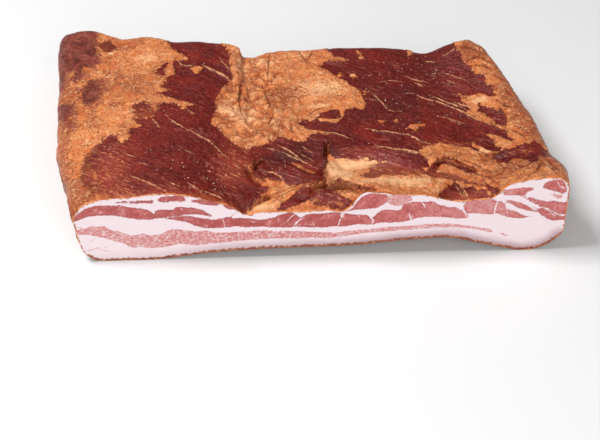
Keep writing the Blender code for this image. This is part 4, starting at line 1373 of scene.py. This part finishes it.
membrane = crust.mix((small * 0.5 + middling * 0.5).step(0.4, 0.58), MEMBRANE_DARK, MEMBRANE_MID)
membrane = crust.mix(veins.most(fibre.step(0.56, 0.7)) * 0.5, membrane, MEMBRANE_PALE)
near_edge = to_lean.step(-0.2, -0.02) * (1 - wall) * (small * 0.6 + middling * 0.4).step(0.44, 0.6)
mottle = small * 0.25 + tiny * 0.15 + middling * 0.3 + broad * 0.1 + flake_shade * 0.2
fat = crust.coated(
    crust.mix(mottle.step(0.37, 0.63), FAT_MID, FAT_LIGHT),
    # browner fat, with the brown spots also painting shade under folds and in dips
    ((broad * 0.35 + middling * 0.35 + small * 0.3 + brown_and_shade * 0.14).step(0.5, 0.66) * 0.8, FAT_BROWN_AND_SHADE),
    ((blush * 0.7 + (middling - 0.5)).step(0.15, 0.7) * 0.6, BLUSH),
    (veins * 0.55, BLUSH),
    # paler fat and painted highlights from the pale spots, with a painted highlight on each sheet's lip
    ((pale_and_highlight + (small - 0.5) * 0.6 + lip_highlight * 0.3).step(0.3, 1.0) * 0.8, PALE_AND_HIGHLIGHT),
    # painted shade in the creases at the edges of flakes and in the wrinkles
    (flake_edge.step(0.03, 0.005) * middling.step(0.5, 0.6) * 0.4, FAT_CREASE_SHADE),
    (wrinkle.step(0.012, 0.002) * small.step(0.45, 0.6) * 0.35, FAT_CREASE_SHADE),
    # painted highlight on the lips of the sheets, and painted shade at their feet
    (lip_highlight * sheet_share * middling.step(0.45, 0.6) * 0.2, PALE_AND_HIGHLIGHT),
    (sheet_edge.step(0.16, 0.0) * sheet_share * small.step(0.4, 0.6) * 0.3, FAT_BROWN_AND_SHADE),
    (sheet_edge.step(0.05, 0.01) * sheet_share * small.step(0.5, 0.62) * 0.4, FAT_CREASE_SHADE),
    (stipple.step(0.54, 0.68) * 0.4, FAT_BROWN_AND_SHADE),
    (stipple.step(0.44, 0.34) * 0.4, FAT_LIGHT),
    # painted shade in the lobes' creases, a painted highlight on their tops and painted shade beside the
    # creases
    (crease * 0.5, FAT_CREASE_SHADE),
    ((on_lobe + (small - 0.5) * 0.8 + (middling - 0.5) * 0.8).step(0.2, 0.7) * 0.3, PALE_AND_HIGHLIGHT),
    (shade_beside_crease * middling.step(0.4, 0.55) * 0.35, FAT_BROWN_AND_SHADE),
    # painted shade in the creases of the puckers
    (puckers.step(0.035, 0.0) * middling.step(0.42, 0.56) * 0.35, FAT_BROWN_AND_SHADE),
    # painted highlights and painted shade in small strokes, standing in for fine relief
    (highlight_and_shade_strokes.step(0.52, 0.64) * middling.step(0.36, 0.5) * 0.5, PALE_AND_HIGHLIGHT),
    (highlight_and_shade_strokes.step(0.45, 0.36) * small.step(0.6, 0.4) * 0.45, FAT_BROWN_AND_SHADE),
    # a stronger painted highlight where the pale spots are strongest, as on top of the flap
    ((pale_and_highlight - 0.7).step(0.0, 0.8) * 0.7, PALE_AND_HIGHLIGHT),
    ((is_membrane * (small * 1.2 + 0.4)).least(1.0), membrane),
    (near_edge * 0.8, THIN_FILM),
)

grit = crust.noise(0.14, 2.0)
# small pale flecks, partly salt and partly painted glints; the sparkle is finer painted glints
glint_and_salt_flecks = crust.cells(0.3).step(0.07, 0.035) * crust.noise(1.1, 0.0).step(0.44, 0.56)
sparkle = crust.noise(0.045, 1.0).step(0.62, 0.74) * small.step(0.38, 0.6)
weave = fibre * 0.25 + strip * 0.2 + small * 0.3 + tiny * 0.25
lean = crust.coated(
    crust.mix(weave.step(0.36, 0.62), LEAN_DARK, LEAN_MID),
    ((broad * 0.5 + strip * 0.2 + tiny * 0.3).step(0.46, 0.62) * 0.6, LEAN_RED),
    ((blush + (strip - 0.5)).step(0.1, 1.2) * 0.75, BLUSH),
    # mauve tint, and a painted sheen on the lean
    ((mauve_and_sheen + (small - 0.5) * 1.5).step(0.1, 1.1) * 0.7, MAUVE_AND_SHEEN),
    # smoky darkening, and painted shade in hollows
    ((smoke_and_shade + (middling - 0.5)).step(0.1, 1.2) * 0.7, SMOKE_AND_SHADE),
    (sinew.step(0.6, 0.68) * middling.step(0.4, 0.6) * 0.7, LEAN_LIGHT),
    # painted glints along the grain where the mauve spots paint a sheen
    (sinew.step(0.54, 0.64) * mauve_and_sheen.least(1.0) * small.step(0.44, 0.58) * 0.5, GLINT),
    (sinew.step(0.52, 0.62) * (blush * 1.2).least(1.0) * small.step(0.4, 0.6) * 0.6, FAT_LIGHT),
    (grit.step(0.56, 0.7) * 0.3, BLUSH),
    (grit.step(0.5, 0.36) * 0.5, LEAN_DARK),
    # painted glints and pale specks of salt
    (glint_and_salt_flecks.most(sparkle * 0.6) * 0.8, GLINT),
)

from_cut = crust.node("ShaderNodeSeparateXYZ", {}, {0: crust.place}, 1) - (CUT_Y - MIDDLE[1])
warmed = (from_cut + (middling - 0.5) * 0.9).step(0.4, 0.0) * (1 - is_lean * 0.7)
fringe = (from_cut + (small - 0.5) * 0.3 + (tiny - 0.5) * 0.2).step(0.12, 0.03) * middling.step(0.4, 0.52)
specks = crust.cells(0.32).step(0.11, 0.06) * crust.noise(0.9, 0.0).step(0.45, 0.6)
colour = crust.coated(
    crust.mix(is_lean, fat, lean),
    (strands * is_lean * small.step(0.3, 0.54), STRAND),
    # painted shade in the cracks, also in those that trace the hollow under the flap
    (cracks * 0.55, FAT_CREASE_SHADE),
    (cracks * small.step(0.45, 0.6) * 0.5, DARK_SPECK_AND_SHADE),
    (warmed * 0.5, CUT_WARM),
    (fringe * 0.8, FAT_LIGHT),
    (specks * (1 - is_lean) * 0.7, DARK_SPECK_AND_SHADE),
    # the walls browner, partly as painted shade on the sides
    (wall * (broad * 0.6 + small * 0.3 + 0.05), FAT_BROWN_AND_SHADE),
)

# %% Crust: gloss and grain
lean_height = sinew * 0.25 + strip * (mauve_and_sheen.least(1.0) * 1.2 + 0.3) + small * 0.5 + tiny * 0.4
sheet_height = (part_way / SHEET_LIP).least((1 - part_way) / (1 - SHEET_LIP)) * sheet_share
fat_height = flake + small * 0.9 + tiny * 0.6 + wrinkle.step(0.0, 0.04) * 0.25 + sheet_height * 0.5
fat_height = (fat_height + puckers.step(0.0, 0.16) * 0.4) * (1 - pale_and_highlight.least(1.0) * 0.6)
height = lean_height * is_lean + (fat_height + 0.4) * (1 - is_lean) + strands * 0.4 - cracks * 0.5
roughness = small * 0.3 + 0.24 - is_lean * 0.05

crust_material = crust.finish(colour, roughness, height, bump_mm=0.9, Specular_IOR_Level=0.27)

# %% [markdown]
# ## The cut
#
# Cured fat is white with a breath of pink, and cured lean is a soft rose.  Towards the rind the fat is
# painted greyer, as shade where the cut's lower edge rolls under.  The lacy streak is lean with pale threads
# through it.  Along the top and the two ends runs the thin brown line of the crust, and along the bottom the
# rind.

# %% Cut: layers
CUT_FAT, CUT_FAT_SHADED = rgb(243, 225, 229), rgb(182, 146, 152)
CUT_RED, CUT_RED_LIGHT = rgb(168, 62, 60), rgb(204, 108, 104)
CUT_RED_DARK, CUT_LACE_RED = rgb(150, 48, 48), rgb(214, 146, 142)
CUT_CRUST, CUT_CRUST_RED = rgb(224, 156, 96), rgb(170, 84, 52)
CUT_RIND, CUT_RIND_LIGHT = rgb(128, 62, 38), rgb(206, 124, 76)

cut = Paint("knife_cut")
middling, small, tiny = (cut.noise(size, 3.0) for size in (0.6, 0.2, 0.06))
frayed = (middling - 0.5) * 0.12 + (small - 0.5) * 0.18 + (tiny - 0.5) * 0.16
meat = (cut.mark("cut_lean") + frayed).step(-0.03, 0.035)
lace = (cut.mark("cut_lace") + frayed).step(-0.02, 0.03)
drawn_out = {0: cut.bent(0.4, 0.2), 1: (0.5, 1.0, 1.1)}
net_place = cut.node("ShaderNodeVectorMath", {"operation": "MULTIPLY"}, drawn_out)
net = cut.cells(0.17, "DISTANCE_TO_EDGE", net_place)
threads = net.step(0.07, 0.02) * cut.noise(0.5, 1.0).step(0.3, 0.45)
wisps = cut.cells(0.5, "DISTANCE_TO_EDGE", cut.bent(0.5, 0.6)).step(0.05, 0.0) * middling.step(0.5, 0.62)
tone, rind_shade = (cut.mark("cut_tone", part) for part in range(2))
seams = drawn(cut, "cut_seam")
dashes = drawn(cut, "cut_dash")
from_top, from_rind, from_side = (cut.mark("cut_edge", part) for part in range(3))

grain = cut.noise(0.05, 3.0) * 0.35 + small * 0.3 + middling * 0.35
# painted shade: the fat greyer towards the rind
fat = cut.mix((from_rind + (middling - 0.5) * 0.3).step(0.9, 0.1) * rind_shade, CUT_FAT, CUT_FAT_SHADED)
dark_rim = (cut.mark("cut_lean") + frayed * 1.5).step(0.14, 0.03) * middling.step(0.4, 0.6) * (1 - tone)
red = cut.coated(
    cut.mix((grain + tone * 0.16).step(0.42, 0.62), CUT_RED, CUT_RED_LIGHT),
    (dark_rim.least(1.0).most(0.0) * 0.8, CUT_RED_DARK),
    ((wisps * 0.4 + (tone + (small - 0.5) * 0.8).step(0.45, 1.0) * 0.35).least(0.8), CUT_FAT),
)
lace_red = cut.mix((grain + tone * 0.1).step(0.42, 0.58), CUT_RED_LIGHT, CUT_LACE_RED)
crusty = cut.mix(small.step(0.42, 0.58), CUT_CRUST_RED, CUT_CRUST)
leathery = cut.mix((tiny * 0.5 + small * 0.5).step(0.46, 0.6), CUT_RIND, CUT_RIND_LIGHT)
at_top = (from_top + (small - 0.5) * 0.3 + (tiny - 0.5) * 0.2).step(0.08, 0.02) * middling.step(0.42, 0.54)
colour = cut.coated(
    cut.mix(meat * (1 - seams), fat, red),
    (lace * (1 - threads * 0.8) * (1 - seams), lace_red),
    (dashes * 0.8, CUT_RED_LIGHT),
    (at_top * 0.9, crusty),
    ((from_side + (small - 0.5) * 0.3).step(0.1, 0.04) * 0.9, crusty),
    ((from_rind + (small - 0.5) * 0.4 + (tiny - 0.5) * 0.2).step(0.21, 0.15), leathery),
)

height = small * 0.4 + tiny * 0.3 - meat * 0.5
roughness = meat * -0.08 + small * 0.2 + 0.42
cut_material = cut.finish(colour, roughness, height, bump_mm=0.25, Specular_IOR_Level=0.5)

# %% [markdown]
# ## The rind
#
# The skin of the belly is smoked to a leathery brown, with pores and fine wrinkles.

# %% Rind
RIND_BROWN, RIND_DARK = rgb(126, 72, 42), rgb(70, 36, 24)

rind = Paint("smoked_rind")
wrinkles, pores = rind.noise(0.5, 4.0, warp=0.6), rind.cells(0.22)
colour = rind.mix((wrinkles * 0.7 + rind.noise(3.0) * 0.3).step(0.38, 0.62), RIND_DARK, RIND_BROWN)
height = wrinkles + pores.step(0.02, 0.08) * 0.6
rind_material = rind.finish(colour, wrinkles * 0.2 + 0.4, height, bump_mm=0.4)

# %% [markdown]
# ## The slab as one piece
#
# Crust, cut and rind are three finishes of one piece, so they are three material slots of one mesh.  It
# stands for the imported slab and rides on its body.

# %% The slab
for material in (crust_material, cut_material, rind_material):
    mesh.materials.append(material)
bacon = bpy.data.objects.new("bacon", mesh)
bpy.context.scene.collection.objects.link(bacon)
print("bacon has", len(mesh.materials), "finishes")

# %% [markdown]
# ## Pepper and salt
#
# Crushed pepper lies on the fat and coarse salt glints on the lean.  The largest grains lie where the
# photograph shows them and the rest is scattered round the places where they are thickest.  One Geometry
# Nodes tree makes both kinds: it puts a small stone, with a turn and a size of its own, on every corner of
# a mesh of places.

# %% Where the grains lie, in pixels
PEPPER = [
    (321, 82), (327, 82), (316, 87), (317, 92), (328, 93), (337, 95), (341, 95), (280, 92), (263, 75),
    (346, 85), (76, 78), (77, 88), (92, 80), (95, 111), (89, 106), (118, 69), (110, 104), (131, 86),
    (62, 133), (67, 133), (97, 133), (91, 149), (75, 167), (72, 170), (66, 177), (90, 186), (76, 190),
]
# Each field is a middle, how far the grains spread across and down, and how many there are.
PEPPER_FIELDS = [
    (88, 118, 20, 40, 60), (72, 178, 8, 16, 25), (320, 90, 16, 8, 12), (112, 72, 16, 14, 16),
    (275, 75, 20, 12, 10), (520, 128, 12, 20, 12), (510, 168, 20, 6, 8),
]
SALT = [
    (147, 133), (145, 152), (166, 150), (213, 183), (207, 178), (209, 171), (379, 74), (432, 73), (433, 78),
    (422, 80), (399, 128), (460, 115),
]
SALT_FIELDS = [
    (190, 165, 32, 14, 30), (214, 180, 12, 6, 10), (412, 75, 28, 10, 40), (440, 115, 28, 12, 30),
    (380, 100, 20, 12, 16), (170, 120, 18, 10, 8), (372, 153, 25, 4, 16), (280, 166, 12, 5, 10),
    (190, 60, 15, 8, 6),
]
GRAIN_SEED = 7
FACING_UP = 0.4  # no grain lies where the skin is steeper
PEPPER_MM, SALT_MM = 1.1, 0.8

skin = BVHTree.FromObject(bacon, bpy.context.evaluated_depsgraph_get())
chance = np.random.default_rng(GRAIN_SEED)


def grain_places(pixels, fields):
    """Where the sight lines through these pixels, and through more scattered in each field, meet the top."""
    scattered = [chance.normal((u, v), (across, down), (count, 2)) for u, v, across, down, count in fields]
    all_pixels = np.concatenate([pixels, *scattered])
    hits = [skin.ray_cast(camera.location, Vector(sight)) for sight in sight_lines(all_pixels)]
    return [place for place, normal, _, _ in hits if place is not None and normal.z > FACING_UP]


# %% The tree that makes the grains
GRAIN_INPUTS = {
    "Places": "NodeSocketGeometry", "Grain size": "NodeSocketFloat", "Seed": "NodeSocketInt",
    "Material": "NodeSocketMaterial",
}
grain_tree = bpy.data.node_groups.new("grains", "GeometryNodeTree")
identifiers = {name: grain_tree.interface.new_socket(name, in_out="INPUT", socket_type=kind).identifier
               for name, kind in GRAIN_INPUTS.items()}
grain_tree.interface.new_socket("Grains", in_out="OUTPUT", socket_type="NodeSocketGeometry")


def grain_node(kind, inputs, **settings):
    """Adds a node, links or sets its inputs, and gives its first output."""
    made = grain_tree.nodes.new(kind)
    for name, value in settings.items():
        setattr(made, name, value)
    for name, value in inputs.items():
        if isinstance(value, bpy.types.NodeSocket):
            grain_tree.links.new(value, made.inputs[name])
        else:
            made.inputs[name].default_value = value
    return made.outputs[0]


FULL_TURN = 6.3  # radians
LEAST_SIDES, MOST_SIDES = (0.5, 0.4, 0.4), (1.3, 1.0, 0.8)  # of a stone, as shares of the grain size

given = grain_tree.nodes.new("NodeGroupInput").outputs
any_turn = {0: (0, 0, 0), 1: (FULL_TURN, FULL_TURN, FULL_TURN), "Seed": given["Seed"]}
turn = grain_node("FunctionNodeRandomValue", any_turn, data_type="FLOAT_VECTOR")
any_sides = {0: LEAST_SIDES, 1: MOST_SIDES, "Seed": given["Seed"]}
shares = grain_node("FunctionNodeRandomValue", any_sides, data_type="FLOAT_VECTOR")
sides = grain_node("ShaderNodeVectorMath", {0: shares, "Scale": given["Grain size"]}, operation="SCALE")
stone = grain_node("GeometryNodeMeshIcoSphere", {"Radius": 0.5, "Subdivisions": 1})
stones = grain_node("GeometryNodeInstanceOnPoints",
                    {"Points": given["Places"], "Instance": stone, "Rotation": turn, "Scale": sides})
stones = grain_node("GeometryNodeRealizeInstances", {"Geometry": stones})
stones = grain_node("GeometryNodeSetMaterial", {"Geometry": stones, "Material": given["Material"]})
grain_tree.links.new(stones, grain_tree.nodes.new("NodeGroupOutput").inputs["Grains"])
print("the tree of grains has", len(grain_tree.nodes), "nodes")


# %% The grains
def grains(name, places, size, dark, light, roughness):
    """A plain mesh with one stone of about that size, in millimetres, at each place."""
    paint = Paint(name)
    shade = paint.noise(0.06, 2.0)
    colour = paint.mix(shade.step(0.4, 0.6), dark, light)
    material = paint.finish(colour, shade * 0.2 + roughness, shade, bump_mm=0.1)
    dots = bpy.data.meshes.new(name)
    dots.from_pydata(places, [], [])
    piece = bpy.data.objects.new(name, dots)
    bpy.context.scene.collection.objects.link(piece)
    modifier = piece.modifiers.new("grains", "NODES")
    modifier.node_group = grain_tree
    for key, value in {"Grain size": size / 1000, "Seed": GRAIN_SEED, "Material": material}.items():
        modifier[identifiers[key]] = value
    piece.data = bpy.data.meshes.new_from_object(piece.evaluated_get(bpy.context.evaluated_depsgraph_get()))
    piece.modifiers.clear()
    print(name, "has", len(places), "grains and", len(piece.data.polygons), "triangles")
    return piece


pepper_places = grain_places(PEPPER, PEPPER_FIELDS)
pepper = grains("pepper", pepper_places, PEPPER_MM, rgb(40, 20, 14), rgb(84, 46, 28), roughness=0.5)
salt_places = grain_places(SALT, SALT_FIELDS)
salt = grains("salt", salt_places, SALT_MM, rgb(214, 176, 150), rgb(246, 226, 206), roughness=0.15)

# %% [markdown]
# ## Floor, light and hand-over
#
# A plain pale floor and large soft lights, as in a studio: the key light stands high on the left, a broader
# and weaker one in front, and an even white surrounding fills the shadows.

# %% Floor and lights
FLOOR_HALF = 3.0
FLOOR_GREY = 0.85
FLOOR_ROUGHNESS = 0.9
LIGHTS = {  # place and width in metres, power in watts
    "key": dict(place=(-0.5, 0.0, 1.0), width=0.4, power=10.0),
    "front": dict(place=(0.15, -1.0, 0.6), width=0.9, power=6.5),
}
SURROUNDING = 0.25  # how bright the even white from all sides is

floor_corners = [(x * FLOOR_HALF, y * FLOOR_HALF, 0) for x, y in ((-1, -1), (1, -1), (1, 1), (-1, 1))]
floor_mesh = bpy.data.meshes.new("floor")
floor_mesh.from_pydata(floor_corners, [], [(0, 1, 2, 3)])
floor = bpy.data.objects.new("floor", floor_mesh)
bpy.context.scene.collection.objects.link(floor)
floor_paint = bpy.data.materials.new("pale_floor")
floor_paint.use_nodes = True
floor_sockets = floor_paint.node_tree.nodes["Principled BSDF"].inputs
floor_sockets["Base Color"].default_value = (FLOOR_GREY, FLOOR_GREY, FLOOR_GREY, 1)
floor_sockets["Roughness"].default_value = FLOOR_ROUGHNESS
floor_mesh.materials.append(floor_paint)

for name, light in LIGHTS.items():
    lamp_data = bpy.data.lights.new(name, "AREA")
    lamp_data.energy, lamp_data.size = light["power"], light["width"]
    lamp = bpy.data.objects.new(name, lamp_data)
    lamp.location = light["place"]
    lamp.rotation_euler = (-Vector(light["place"])).to_track_quat("-Z", "Y").to_euler()
    bpy.context.scene.collection.objects.link(lamp)

world = bpy.data.worlds.new("studio")
world.use_nodes = True
world.node_tree.nodes["Background"].inputs["Color"].default_value = (1, 1, 1, 1)
world.node_tree.nodes["Background"].inputs["Strength"].default_value = SURROUNDING
bpy.context.scene.world = world
bpy.context.scene.view_settings.view_transform = "Standard"
print("floor,", len(LIGHTS), "lights and a white surrounding")

# %% Hand over to the frame
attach(bacon, "root")
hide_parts("bacon_slab")
for grain_piece in (pepper, salt):
    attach(grain_piece, "root")

triangles = sum(len(p.vertices) - 2 for p in mesh.polygons)
print("bacon has", triangles, "triangles")
